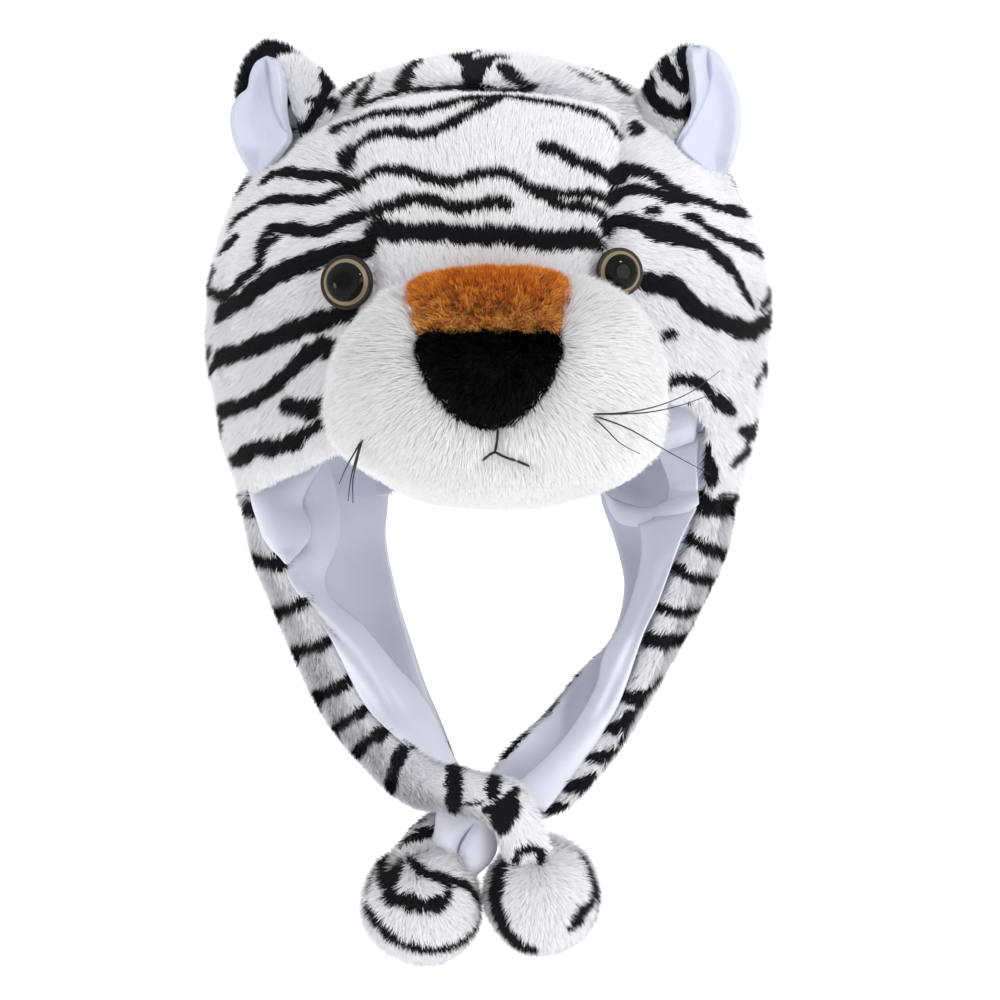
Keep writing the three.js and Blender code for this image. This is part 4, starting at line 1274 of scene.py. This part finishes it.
# Each whisker: pixels of the photograph, and how far forward its tip reaches from its root
whiskers = {
    "leftLong": {"pixels": [(362, 439), (356, 450), (347, 466), (339, 484)], "forward": 6, "thick": 1.25},
    "leftMiddle": {"pixels": [(362, 439), (357, 455), (351, 478), (348, 501)], "forward": 10, "thick": 1.25},
    "leftInner": {"pixels": [(362, 440), (358, 456), (353, 480), (353, 503)], "forward": 12, "thick": 1.25},
    "rightUpper": {"pixels": [(590, 414), (620, 413), (654, 407), (689, 393), (720, 371)], "forward": -6},
    "rightMiddle": {"pixels": [(590, 414), (620, 414), (650, 412), (682, 405), (712, 394)], "forward": 4},
    "rightLong": {"pixels": [(592, 415), (627, 428), (667, 451), (711, 475)], "forward": 8},
    "rightLower": {"pixels": [(592, 416), (605, 428), (620, 443), (640, 454)], "forward": 10},
}
whiskerLook = {"steps": 28, "root": 0.34, "tip": 0.12, "rooted": 5}  # two radii, and the depth of the root


def makeWhiskers():
    tree = treeOf(*muzzleSurface())
    meshes = []
    for whisker in whiskers.values():
        root = castOn(tree, "front", *whisker["pixels"][0])[0]
        spots = []
        for k, pixel in enumerate(whisker["pixels"]):
            eye, ray = rayFrom("front", *pixel)
            depth = root[1] + 1.5 - whisker["forward"] * k / (len(whisker["pixels"]) - 1)
            spots.append(tuple(eye + ray * ((depth - eye.y) / ray.y)))
        line = splinePoints(spots, whiskerLook["steps"])
        line[0, 1] += whiskerLook["rooted"]  # in the stuffing
        radii = np.linspace(whiskerLook["root"], whiskerLook["tip"], len(line))
        meshes.append(tubeMesh(line, radii * whisker.get("thick", 1)))
    piece = makeMesh("whisker_bristles", *joined(meshes), [finishes["whiskerNylon"]])
    settle(piece, None)


makeMouth()
makeWhiskers()


# Eyes

eyes = {
    "eye_left": {"at": (-49.8, -95.5, -82.6), "turn": 163, "scale": 0.98},
    "eye_right": {"at": (46.8, -96, -79), "turn": 199, "scale": 0.88},
}
eyeProfile = [
    # radius, height, finish of the band that starts here
    (0, -5, 0), (2.6, -5, 0), (2.6, -0.4, 0), (9.7, -0.4, 0), (10, 0, 0), (10, 1.2, 0), (9.75, 1.75, 0),
    (9.2, 1.95, 0), (8.7, 1.65, 0), (8.5, 1.75, 1), (7.9, 2.15, 1), (7.5, 2.4, 1), (7.2, 2.85, 2), (6.6, 3.4, 2),
    (5.8, 3.95, 2), (4.9, 4.35, 2), (3.9, 4.65, 2), (2.8, 4.85, 2), (1.5, 4.97, 2), (0.5, 5, 2),
]


eyeLook = {"columns": 48, "half": 5, "radial": 8}  # half its depth, and the radius where the mask is one


def makeEyes():
    columns, half = eyeLook["columns"], eyeLook["half"]
    for name, eye in eyes.items():
        turn = np.linspace(0, 2 * math.pi, columns, endpoint=False)
        rings = [np.column_stack([r * np.cos(turn), np.full(columns, h), r * np.sin(turn)])
                 for r, h, _ in eyeProfile[1:]]
        points = np.vstack(rings)
        faces = ringFaces(len(rings), columns, closed=False)
        finishOf = [band for _, _, band in eyeProfile[1:-1] for _ in range(columns)]
        top, foot = len(points), len(points) + 1
        last = (len(rings) - 1) * columns
        points = np.vstack([points, (0, half, 0), (0, -half, 0)])
        faces += [[last + i, last + (i + 1) % columns, top] for i in range(columns)]
        faces += [[(i + 1) % columns, i, foot] for i in range(columns)]
        finishOf += [2] * columns + [0] * columns
        radial = np.hypot(points[:, 0], points[:, 2]) / eyeLook["radial"]
        angle = math.radians(eye["turn"])
        c, s = math.cos(angle), math.sin(angle)
        turned = points * eye["scale"] @ np.array([(c, s, 0), (-s, c, 0), (0, 0, 1)]) + eye["at"]
        piece = makeMesh(name + "_dome", turned, outwardFaces(turned - eye["at"], faces),
                         [finishes["eyeRim"], finishes["eyeRing"], finishes["eyeDome"]], {"radial": radial},
                         finishOf)
        settle(piece, name)


makeEyes()
print("eyes and whiskers made")


# Ears

ear = {"height": 42, "sunk": 16, "baseX": 15, "baseY": 8, "wideX": 21, "wideY": 12, "shoulder": 0.82,
       "start": -80, "end": 172, "columns": 64, "rows": 22, "outer": 1.8, "inner": 4.6}
earPlaces = {
    # the rim is trimmed by so much at each angle round the cup, from the front of its inner wall outwards
    "left": {"at": (-71, -33, -28), "turn": (4, -17), "mirror": 1, "angle": [-90, -45, 0, 45, 90, 135, 175],
             "trim": [13, 7.5, 4, 7, 4.2, 3.2, 3], "slim": [0, 0, 0, 0, 0, 0.5, 1.5]},
    "right": {"at": (74, -33, -30), "turn": (4, 8), "mirror": -1, "angle": [-90, -45, 0, 45, 90, 135, 175],
              "trim": [9, 5, 2, 2.6, 5.5, 6, 5], "slim": [0, 0, 0, 0, 0.5, 2.5, 3.5]},
}
earPile = {"perSquare": 7.0, "long": 3.8, "wide": 0.52, "lean": 0.9, "ruffle": 0.36, "clump": 0.7, "lock": 6,
           "seed": 31}
earStripes = {
    "left": [
        ("front", 3.6, [(319, 70), (325, 82), (322, 96), (316, 110), (307, 124), (298, 131), (286, 136)]),
        ("front", 7.5, [(288, 58), (272, 50), (256, 50), (245, 60), (238, 74), (233, 92), (231, 100)]),
        ("left", 4.0, [(-40, -12), (-30, -16), (-20, -12)]),
        ("back", 4.4, [(-96, -8), (-84, -14), (-70, -10), (-60, -14)]),
        ("back", 4.0, [(-92, -28), (-80, -32), (-66, -28)]),
    ],
    "right": [
        ("front", 4.4, [(667, 58), (668, 70), (675, 81), (687, 86), (688, 74), (685, 60), (684, 50)]),
        ("front", 4.4, [(649, 74), (650, 88), (657, 101), (668, 110), (680, 114), (692, 110)]),
        ("back", 4.4, [(62, -8), (74, -13), (88, -10), (98, -16)]),
        ("back", 4.0, [(68, -28), (82, -31), (94, -30)]),
    ],
}
# The knit inside each ear, charted on the photograph's pixels down its outward edge and down the edge
# beside the fur, with the rolled strip at its front
earFelts = {
    "left": {
        "outward": [(266, 56), (256, 62), (250, 74), (247, 88), (239, 95), (232, 106), (230, 122), (234, 143),
                    (243, 162), (256, 181)],
        "inward": [(268, 56), (280, 61), (286, 75), (287, 92), (287, 108), (289, 122), (292, 137), (285, 151),
                   (273, 165), (258, 181)],
        "crease": [(267, 58), (270, 77), (272, 94), (276, 110), (283, 125), (291, 137)],
        "depth": (-35, -45), "bowl": 5,
    },
    "right": {
        "outward": [(703, 45), (714, 50), (724, 61), (732, 76), (738, 92), (741, 110), (741, 128), (737, 150),
                    (730, 168), (718, 181)],
        "inward": [(701, 45), (688, 47), (686, 60), (689, 76), (690, 92), (692, 105), (689, 118), (681, 132),
                   (676, 147), (690, 161), (704, 172), (716, 181)],
        "crease": [(706, 48), (708, 72), (707, 88), (700, 106), (691, 123), (680, 140), (675, 147)],
        "depth": (-37, -46), "bowl": 5,
    },
}


def earPoints(place, angles, rises, inset):
    # the ear's outer face moved inwards; rises run from its foot to its rim
    cos, sin = np.cos(np.radians(angles)), np.sin(np.radians(angles))
    top = np.sqrt(1 - ear["shoulder"] * cos ** 2) * ear["height"]
    top -= np.interp(angles, place["angle"], place["trim"])
    inset = inset + np.interp(angles, place["angle"], place["slim"])
    z = -ear["sunk"] + (top + ear["sunk"]) * rises
    bulge = np.sin(math.pi * (0.15 + 0.6 * np.maximum(0, z) / ear["height"]))
    x = (ear["baseX"] + (ear["wideX"] - ear["baseX"]) * bulge - inset) * cos
    y = (ear["baseY"] + (ear["wideY"] - ear["baseY"]) * bulge - inset) * sin
    points = np.column_stack([x * place["mirror"], y, z])
    ax, ay = np.radians(place["turn"])
    turnX = np.array([(1, 0, 0), (0, math.cos(ax), -math.sin(ax)), (0, math.sin(ax), math.cos(ax))])
    turnY = np.array([(math.cos(ay), 0, math.sin(ay)), (0, 1, 0), (-math.sin(ay), 0, math.cos(ay))])
    return points @ (turnX @ turnY).T + place["at"]


def earCloth(place):
    # for each angle one ring: up the outer face, over the rim and down the inner face
    rises = np.linspace(0, 1, ear["rows"] + 1)
    rings = []
    for angle in np.linspace(ear["start"], ear["end"], ear["columns"] + 1):
        fromEnd = min(angle - ear["start"], ear["end"] - angle) * 0.3
        rounding = math.sqrt(1 - (1 - min(fromEnd / 1.6, 1)) ** 2)
        middle = (ear["outer"] + ear["inner"]) / 2
        angles = np.full(len(rises), angle)
        outside = earPoints(place, angles, rises, middle - (middle - ear["outer"]) * rounding)
        inside = earPoints(place, angles, rises, middle + (ear["inner"] - middle) * rounding)
        rim = (outside[-1] + inside[-1]) / 2 + (0, 0, 0.9)
        rings.append(np.vstack([outside, rim[None], inside[::-1]]))
    return np.vstack(rings), len(rings), len(rings[0])


# the gap before the fur behind, the depth where there is none, its bounds, and the edge's rounding
feltLook = {"rows": 60, "columns": 44, "gap": 0.6, "deepest": 15, "open": 5, "least": 3, "edge": 5, "smooth": 12}


def earFelt(felt, cup):
    # a padded sheet between its two charted edges, hollow in the middle, with a crease beside its roll;
    # its back reaches the fur behind it
    outward, inward = [splinePoints(felt[side], feltLook["rows"]) for side in ("outward", "inward")]
    shares = np.linspace(0, 1, feltLook["columns"])[:, None]
    outline = felt["outward"] + felt["inward"][::-1]
    strip = felt["crease"] + [p for p in felt["inward"][::-1] if p[1] < felt["crease"][-1][1] - 2]
    forms = [("pillow", 24, -felt["bowl"], outline), ("pillow", 8, felt["bowl"] * 0.7 + 3, strip),
             ("pillow", 5, 3, outline), ("fold", 2.4, -2.4, felt["crease"])]
    fronts, depths = [], []
    for start, end in zip(outward, inward):
        sunk = 16 * smoothStep(start[1] + (end[1] - start[1]) * shares[:, 0], felt["crease"][-1][1] + 4, 186)
        depth = felt["depth"][0] + (felt["depth"][1] - felt["depth"][0]) * shares[:, 0] + sunk
        front = pixelPoints(start + (end - start) * shares, depth)
        edge = np.minimum(shares, 1 - shares) * np.linalg.norm(end - start) * view["perPixel"]
        hits = [cup.ray_cast(Vector(spot), Vector((0, 1, 0)))[3] for spot in front]
        behind = [min(hit - feltLook["gap"], feltLook["deepest"]) if hit else feltLook["open"] for hit in hits]
        thick = np.maximum(behind, feltLook["least"]) * np.sqrt(np.clip(edge[:, 0] / feltLook["edge"], 0, 1))
        fronts.append(front)
        depths.append(feltLook["gap"] + thick)
    depths = np.array(depths)
    for _ in range(feltLook["smooth"]):
        padded = np.pad(depths, 1, mode="edge")
        depths = (padded[:-2, 1:-1] + padded[2:, 1:-1] + padded[1:-1, :-2] + padded[1:-1, 2:]) / 4
    rings = [np.vstack([towardViewer(front, forms), (front + (0, 1, 0) * depth[:, None])[::-1]])
             for front, depth in zip(fronts, depths)]
    points = np.vstack(rings)
    return points, outwardFaces(points, ringFaces(len(rings), len(rings[0])))


def makeEars():
    for side, place in earPlaces.items():
        points, rings, count = earCloth(place)
        faces = outwardFaces(points, ringFaces(rings, count))
        mask = np.tile(np.concatenate([np.ones(ear["rows"] + 2), [0.5], np.zeros(ear["rows"])]), rings)
        mask *= smoothStep(eggHeight(points), -7, -4)
        angles = np.repeat(np.linspace(ear["start"], ear["end"], rings), count)
        fur = 1 - 0.45 * smoothStep(angles, 140, 165)
        comb = unit(points - np.array(place["at"])) + (0, 0, 0.6)
        plushPiece("ear_" + side + "_plush", points, faces, comb, {**earPile, "seed": 31 + len(side)},
                   finishes["stripedPlush"], "ear_" + side,
                   printOn(points, faces, earStripes[side], 0), fur, mask)
        piece = makeMesh("ear_lining_" + side + "_knit", *earFelt(earFelts[side], treeOf(points, faces)),
                         [finishes["earKnitShaded"]])
        settle(piece, "ear_lining_" + side)


makeEars()
print("ears made")


# Flaps

flapRows = {
    "left": [
        # front edge, keel and back edge on the outer face, and the plush's thickness there
        ((-92, -24, -158.3), (-86.6, 40.7, -158.3), (-42, 87, -158.3), 8),
        ((-86, -30, -177), (-85, 29, -184), (-42.5, 83, -176), 8),
        ((-72, -36, -198), (-79.5, 13, -206), (-37, 69, -200), 7.5),
        ((-60, -41, -214), (-71.5, 0, -225), (-31, 52, -216), 7),
        ((-52, -45, -230), (-61, -18, -243), (-24, 30, -233), 6.5),
        ((-44, -49, -241), (-47.5, -33, -257), (-17, 8, -246), 6),
        ((-33, -56, -247.5), (-33, -51, -267.5), (-12, -23, -254), 5),
        ((-19, -64, -253.5), (-18, -63, -272.5), (-9, -48, -257), 4.5),
        ((-4, -70, -256.5), (-4, -71, -275), (0, -56, -259), 4),
        ((9, -72, -260), (3, -73, -278.5), (11, -58, -261), 4),
        ((20, -68, -274), (7, -69, -287), (20, -54, -275), 4),
        ((26, -60, -290), (13, -60, -297), (24, -47, -291), 4),
    ],
    "right": [
        ((86, -40, -158.3), (90.7, 30, -158.3), (47, 84.6, -158.3), 8),
        ((85, -38, -172), (89, 18, -181), (52, 76, -177), 8),
        ((76, -42, -191), (79.5, 5, -203), (55, 56, -196), 7.5),
        ((67.5, -46, -211), (67.5, -8, -223), (49, 34, -215), 7),
        ((58.5, -48, -230), (54.5, -20, -243), (34, 13, -228), 6.5),
        ((47.5, -49, -252), (41, -34, -261), (20.5, -8, -241), 6),
        ((34, -44, -270), (28, -30, -274), (7.5, -16, -252), 5),
        ((20, -34, -279), (13, -21, -280), (0, -15, -262), 4.5),
        ((6, -34, -288), (-2, -23, -284), (-9, -25, -268), 4),
        ((-3, -41, -296), (-14, -31, -287), (-25.5, -42, -276.5), 4),
        ((-13, -49, -304), (-25, -40, -296), (-35.5, -50, -287), 4),
    ],
}
flapLook = {"steps": 96, "shares": 34, "skin": 0.32, "last": 0.985, "tips": 1.4}
# how far the plush rolls over inside each flap's edges, along its length
flapRolls = {"left": {"front": [1.5, 1, 0.5, 1, 1, 1, 1], "back": [0, 0, 0, 0, 0, 0, 0]},
             "right": {"front": [3, 4, 5, 5.5, 5.5, 3, 1], "back": [0, 0, 0, 0, 0, 4, 6]}}
flapPile = {"perSquare": 4.7, "long": 4.3, "wide": 0.56, "lean": 1.3, "ruffle": 0.4, "clump": 0.7, "lock": 6,
            "seed": 41}
# how far along each flap its back edge shows only the lining
flapEdges = {"left": 0.66, "right": 0.3}
rise = [(-134, 1.078), (-146, 1.044)]  # rows that carry a flap up into the hood


def arcSection(start, middle, end, shares):
    # points on the circle through three points, and the directions out of it
    a, b = middle - start, end - start
    axis = np.cross(a, b)
    centre = start + (np.cross(axis, a) * (b @ b) + np.cross(b, axis) * (a @ a)) / (2 * (axis @ axis))
    toStart, toEnd = start - centre, end - centre
    normal = axis / np.linalg.norm(axis)
    turn = math.atan2(np.cross(toStart, toEnd) @ normal, toStart @ toEnd)
    turn = turn + 2 * math.pi if turn < 0 else turn
    angles = np.asarray(shares)[:, None] * turn
    out = toStart * np.cos(angles) + np.cross(normal, toStart) * np.sin(angles)
    return centre + out, unit(out)


def flapSections(rows, steps):
    curves = [splinePoints([row[k] for row in rows], steps) for k in range(3)]
    thick = np.interp(np.linspace(0, len(rows) - 1, steps + 1), range(len(rows)), [row[3] for row in rows])
    return list(zip(curves[0], curves[1], curves[2], thick))


def flapCloth(side, rows):
    # the plush's closed wall: out along the outer face, round both edges, and back inside
    sections = flapSections(rows, flapLook["steps"])
    half = flapLook["shares"]
    shares = np.linspace(0, flapLook["last"], half)
    rings, marks, lengths = [], [], []
    for k, (front, keel, back, thick) in enumerate(sections):
        chord = np.linalg.norm(back - front) + 1e-6
        rolls = [np.interp(k / flapLook["steps"], np.linspace(0, 1, 7), flapRolls[side][end])
                 for end in ("front", "back")]
        inFront = 1 - smoothStep(shares, 0.1, 0.3)
        deep = 0.6 * thick + inFront * (0.35 * thick + rolls[0]) + smoothStep(shares, 0.65, 0.85) * rolls[1]
        skin = flapLook["skin"] * thick
        middle = (skin + deep) / 2
        fromEdge = np.minimum(shares, flapLook["last"] - shares) * 1.35 * chord
        rounding = np.sqrt(1 - (1 - np.clip(fromEdge / (0.5 * deep), 0, 1)) ** 2)
        spots, out = arcSection(front, keel, back, shares)
        outer = spots - out * (middle - (middle - skin) * rounding)[:, None]
        inner = spots - out * (middle + (deep - middle) * rounding)[:, None]
        rings.append(np.vstack([outer, inner[::-1][1:-1]]))
        bare = 1 - smoothStep(k / flapLook["steps"], flapEdges[side] - 0.04, flapEdges[side] + 0.04)
        within = 1 - smoothStep(shares, 0.12, 0.22) + smoothStep(shares, 0.8, 0.88) * min(rolls[1], 1)
        marks.append(np.concatenate([1 - bare * smoothStep(shares, 0.88, 0.95), within[::-1][1:-1]]))
        lengths.append(np.full(2 * half - 2, 0.45 + 0.55 * thick / 8))
    points = np.vstack(rings)
    return points, ringFaces(len(rings), 2 * half - 2), np.concatenate(marks), np.concatenate(lengths), sections


liningLook = {"steps": 90, "shares": 36, "back": 10}


def raisedRows(rows):
    # the flap's rows, with its first one carried up inside the hood
    front, keel, back, thick = rows[0]
    return [(*[np.array((p[0] * scale, p[1] * scale, z)) for p in (front, keel, back)], thick)
            for z, scale in rise] + rows


def flapLiningCloth(rows):
    sections = flapSections(raisedRows(rows), liningLook["steps"])
    shares = np.linspace(0.06, 1, liningLook["shares"])
    behind = np.linspace(0.95, 0.08, liningLook["back"])
    ramp = np.interp(np.linspace(0, len(rows) + 1, len(sections)), [0, 1, 2, 3.2], [0.6, 4.2, 4.4, 1.6])
    fronts, backs = [], []
    for (start, keel, end, thick), extra in zip(sections, ramp):
        spots, out = arcSection(start, keel, end, shares)
        chord = np.linalg.norm(end - start)
        wrap = smoothStep((1 - shares) * chord, 0, 3.5)
        room = smoothStep(shares * chord, 0, 9)
        depth = (0.4 + 0.34 * wrap) * thick + extra * wrap * room
        fronts.append(spots - out * depth[:, None])
        spots, out = arcSection(start, keel, end, behind)
        backs.append(spots - out * (0.6 * thick))
    front = np.vstack(fronts)
    front += (0.8 * waves(front, 40, 17) - 0.6)[:, None] * (0, -1, 0)
    rings = [np.vstack([f, b]) for f, b in zip(front.reshape(len(fronts), -1, 3), backs)]
    points = np.vstack(rings)
    return points, ringFaces(len(rings), len(rings[0]))


flapStripes = {
    "left": [
        ("front", 3.6, [(237, 514), (246, 511), (254, 514)]),
        ("front", 4.6, [(250, 556), (264, 563), (284, 566)]),
        ("front", 3.6, [(267, 613), (290, 610), (308, 599)]),
        ("front", 3.5, [(281, 654), (300, 651), (318, 647), (333, 638)]),
        ("front", 4.0, [(304, 702), (320, 697), (338, 688), (354, 677)]),
        ("front", 2.9, [(326, 734), (347, 722), (369, 707)]),
        ("front", 3.8, [(350, 762), (360, 750), (374, 737), (388, 731)]),
        ("front", 4.8, [(388, 795), (392, 776), (398, 758), (407, 746)]),
        ("front", 5.4, [(452, 814), (454, 790), (453, 760)]),
        ("front", 4.0, [(492, 798), (494, 784), (498, 768)]),
        ("front", 0.8, [(461, 806), (482, 803)]),
        ("front", 8.4, [(499, 832), (503, 818), (511, 802)]),
        ("front", 2.4, [(483, 812), (500, 805), (519, 788)]),
        ("front", 2.6, [(514, 865), (519, 855), (530, 850), (541, 854), (544, 866)]),
        ("left", 4.6, [(-8, -183), (14, -185), (38, -188), (62, -182)]),
        ("left", 4.4, [(-14, -203), (8, -205), (30, -206), (54, -201)]),
        ("left", 4.2, [(-18, -218), (0, -221), (16, -224), (36, -218)]),
        ("left", 4.0, [(-20, -236), (-6, -239), (6, -240), (18, -234)]),
        ("left", 3.4, [(-24, -247), (-10, -252), (2, -250)]),
    ],
    "right": [
        ("front", 6.0, [(698, 500), (712, 508), (728, 508), (742, 500)]),
        ("front", 3.9, [(674, 527), (686, 536), (703, 547), (722, 554), (732, 555)]),
        ("front", 3.2, [(662, 559), (674, 568), (690, 577), (712, 581), (722, 579)]),
        ("front", 2.7, [(648, 603), (660, 608), (676, 613), (692, 613), (706, 605)]),
        ("front", 4.8, [(633, 634), (648, 639), (664, 642), (681, 640), (692, 628)]),
        ("front", 3.6, [(608, 689), (622, 695), (636, 700), (648, 694), (662, 678)]),
        ("front", 2.9, [(596, 732), (608, 729), (619, 725), (636, 712)]),
        ("front", 2.8, [(578, 754), (592, 757), (604, 757), (618, 752)]),
        ("front", 3.5, [(562, 789), (573, 787), (584, 784), (594, 777)]),
        ("front", 3.8, [(544, 813), (556, 812), (566, 806)]),
        ("front", 5.0, [(603, 650), (596, 664)]),
        ("front", 4.6, [(580, 674), (572, 684)]),
        ("front", 4.6, [(550, 696), (540, 706)]),
        ("front", 4.6, [(518, 730), (506, 742)]),
        ("front", 5.0, [(506, 740), (494, 752)]),
        ("right", 4.4, [(-14, -165), (4, -167), (20, -164)]),
        ("right", 4.6, [(-14, -181), (8, -180), (36, -182), (58, -177)]),
        ("right", 4.4, [(-14, -193), (6, -197), (26, -202), (46, -198)]),
        ("right", 4.2, [(-16, -206), (-2, -212), (14, -217), (30, -213)]),
        ("right", 4.0, [(-18, -217), (-6, -225), (4, -231), (12, -229)]),
        ("front", 6.4, [(404, 848), (418, 843), (438, 838)]),
    ],
}


def makeFlaps():
    for side, rows in flapRows.items():
        rows = [tuple(np.array(p, float) for p in row[:3]) + (row[3],) for row in rows]
        points, faces, mask, fur, sections = flapCloth(side, rows)
        faces = outwardFaces(points, faces)
        tips = points + pointNormals(points, faces) * flapLook["tips"]
        keel = np.array([s[1] for s in sections])
        comb = np.repeat(unit(np.gradient(keel, axis=0)), 2 * flapLook["shares"] - 2, axis=0)
        plushPiece("earflap_" + side + "_plush", points, faces, comb, {**flapPile, "seed": 41 + len(side)},
                   finishes["stripedPlush"], "earflap_" + side,
                   printOn(tips, faces, flapStripes[side], flapLook["tips"]), fur, mask)
        points, faces = flapLiningCloth(rows)
        sheets = [(points, outwardFaces(points, faces))]
        sheets += [paddedFold(fold, liningForms[side]) for fold in liningFolds[side]]
        piece = makeMesh("earflap_lining_" + side + "_knit", *joined(sheets), [finishes["liningKnit"]])
        settle(piece, "earflap_lining_" + side)


makeFlaps()
print("flaps made")


# Plush balls

pompoms = {
    "left": {"at": (-24.0, -50, -308.2), "radius": 23.2, "seed": 61},
    "right": {"at": (20.2, -50, -304.9), "radius": 22.6, "seed": 67},
}
pompomLook = {"skin": 3.8, "tips": 2.4, "uneven": 0.03}  # the pile's depth, and where its stripes are printed
pompomPile = {"perSquare": 8.4, "long": 5.4, "wide": 0.66, "lean": 1.25, "ruffle": 0.5, "clump": 1.0, "lock": 7}
pompomStripes = {
    "left": [
        ("front", 3.4, [(365, 905), (372, 916), (383, 929), (396, 940), (414, 947), (432, 949), (450, 947),
                        (463, 940), (474, 929), (480, 916), (481, 904)]),
        ("front", 4.4, [(398, 862), (392, 876), (388, 890), (392, 898), (403, 901), (419, 905), (434, 905),
                        (446, 901)]),
        ("front", 2.6, [(449, 882), (449, 892), (447, 901)]),
        ("front", 2.8, [(409, 858), (416, 865), (425, 873), (438, 877), (454, 881), (467, 886), (476, 896),
                        (481, 906)]),
        ("front", 1.6, [(367, 894), (370, 880), (378, 866)]),
        ("left", 4.0, [(-66, -300), (-50, -292), (-34, -300)]),
        ("back", 4.2, [(-42, -306), (-24, -314), (-8, -306)]),
        ("back", 4.0, [(-36, -322), (-24, -326), (-12, -322)]),
    ],
    "right": [
        ("front", 6.4, [(501, 862), (497, 876), (495, 895), (498, 915), (506, 932), (518, 944), (532, 950)]),
        ("front", 4.4, [(514, 862), (526, 853), (541, 861)]),
        ("front", 3.6, [(580, 852), (588, 866), (593, 882), (593, 896), (588, 908)]),
        ("front", 4.4, [(586, 906), (578, 918), (570, 928)]),
        ("right", 4.0, [(-60, -296), (-48, -312), (-40, -318)]),
        ("back", 4.4, [(4, -300), (20, -306), (36, -300)]),
    ],
}


def makePompoms():
    for side, ball in pompoms.items():
        made = bmesh.new()
        bmesh.ops.create_icosphere(made, subdivisions=4, radius=ball["radius"] - pompomLook["skin"])
        points = np.array([v.co for v in made.verts])
        faces = [[v.index for v in f.verts] for f in made.faces]
        made.free()
        points = points * (1 + pompomLook["uneven"] * waves(points, 30, ball["seed"]))[:, None] + ball["at"]
        middle = np.array(ball["at"])
        comb = unit(points - middle) * (1, 0, 1) + (0.1, -0.25, -0.55)
        tips = points + unit(points - middle) * pompomLook["tips"]
        plushPiece("pompom_" + side + "_plush", points, faces, comb, {**pompomPile, "seed": ball["seed"]},
                   finishes["stripedPlush"], "pompom_" + side,
                   printOn(tips, faces, pompomStripes[side], pompomLook["tips"]))


makePompoms()
bpy.data.objects.remove(strandShape)
print("pompoms made")

made = [thing.data for thing in bpy.data.objects if thing.type == "MESH" and thing.name.endswith(("_plush", "_knit"))]
print("triangles in all", sum(len(mesh.loops) - 2 * len(mesh.polygons) for mesh in made))
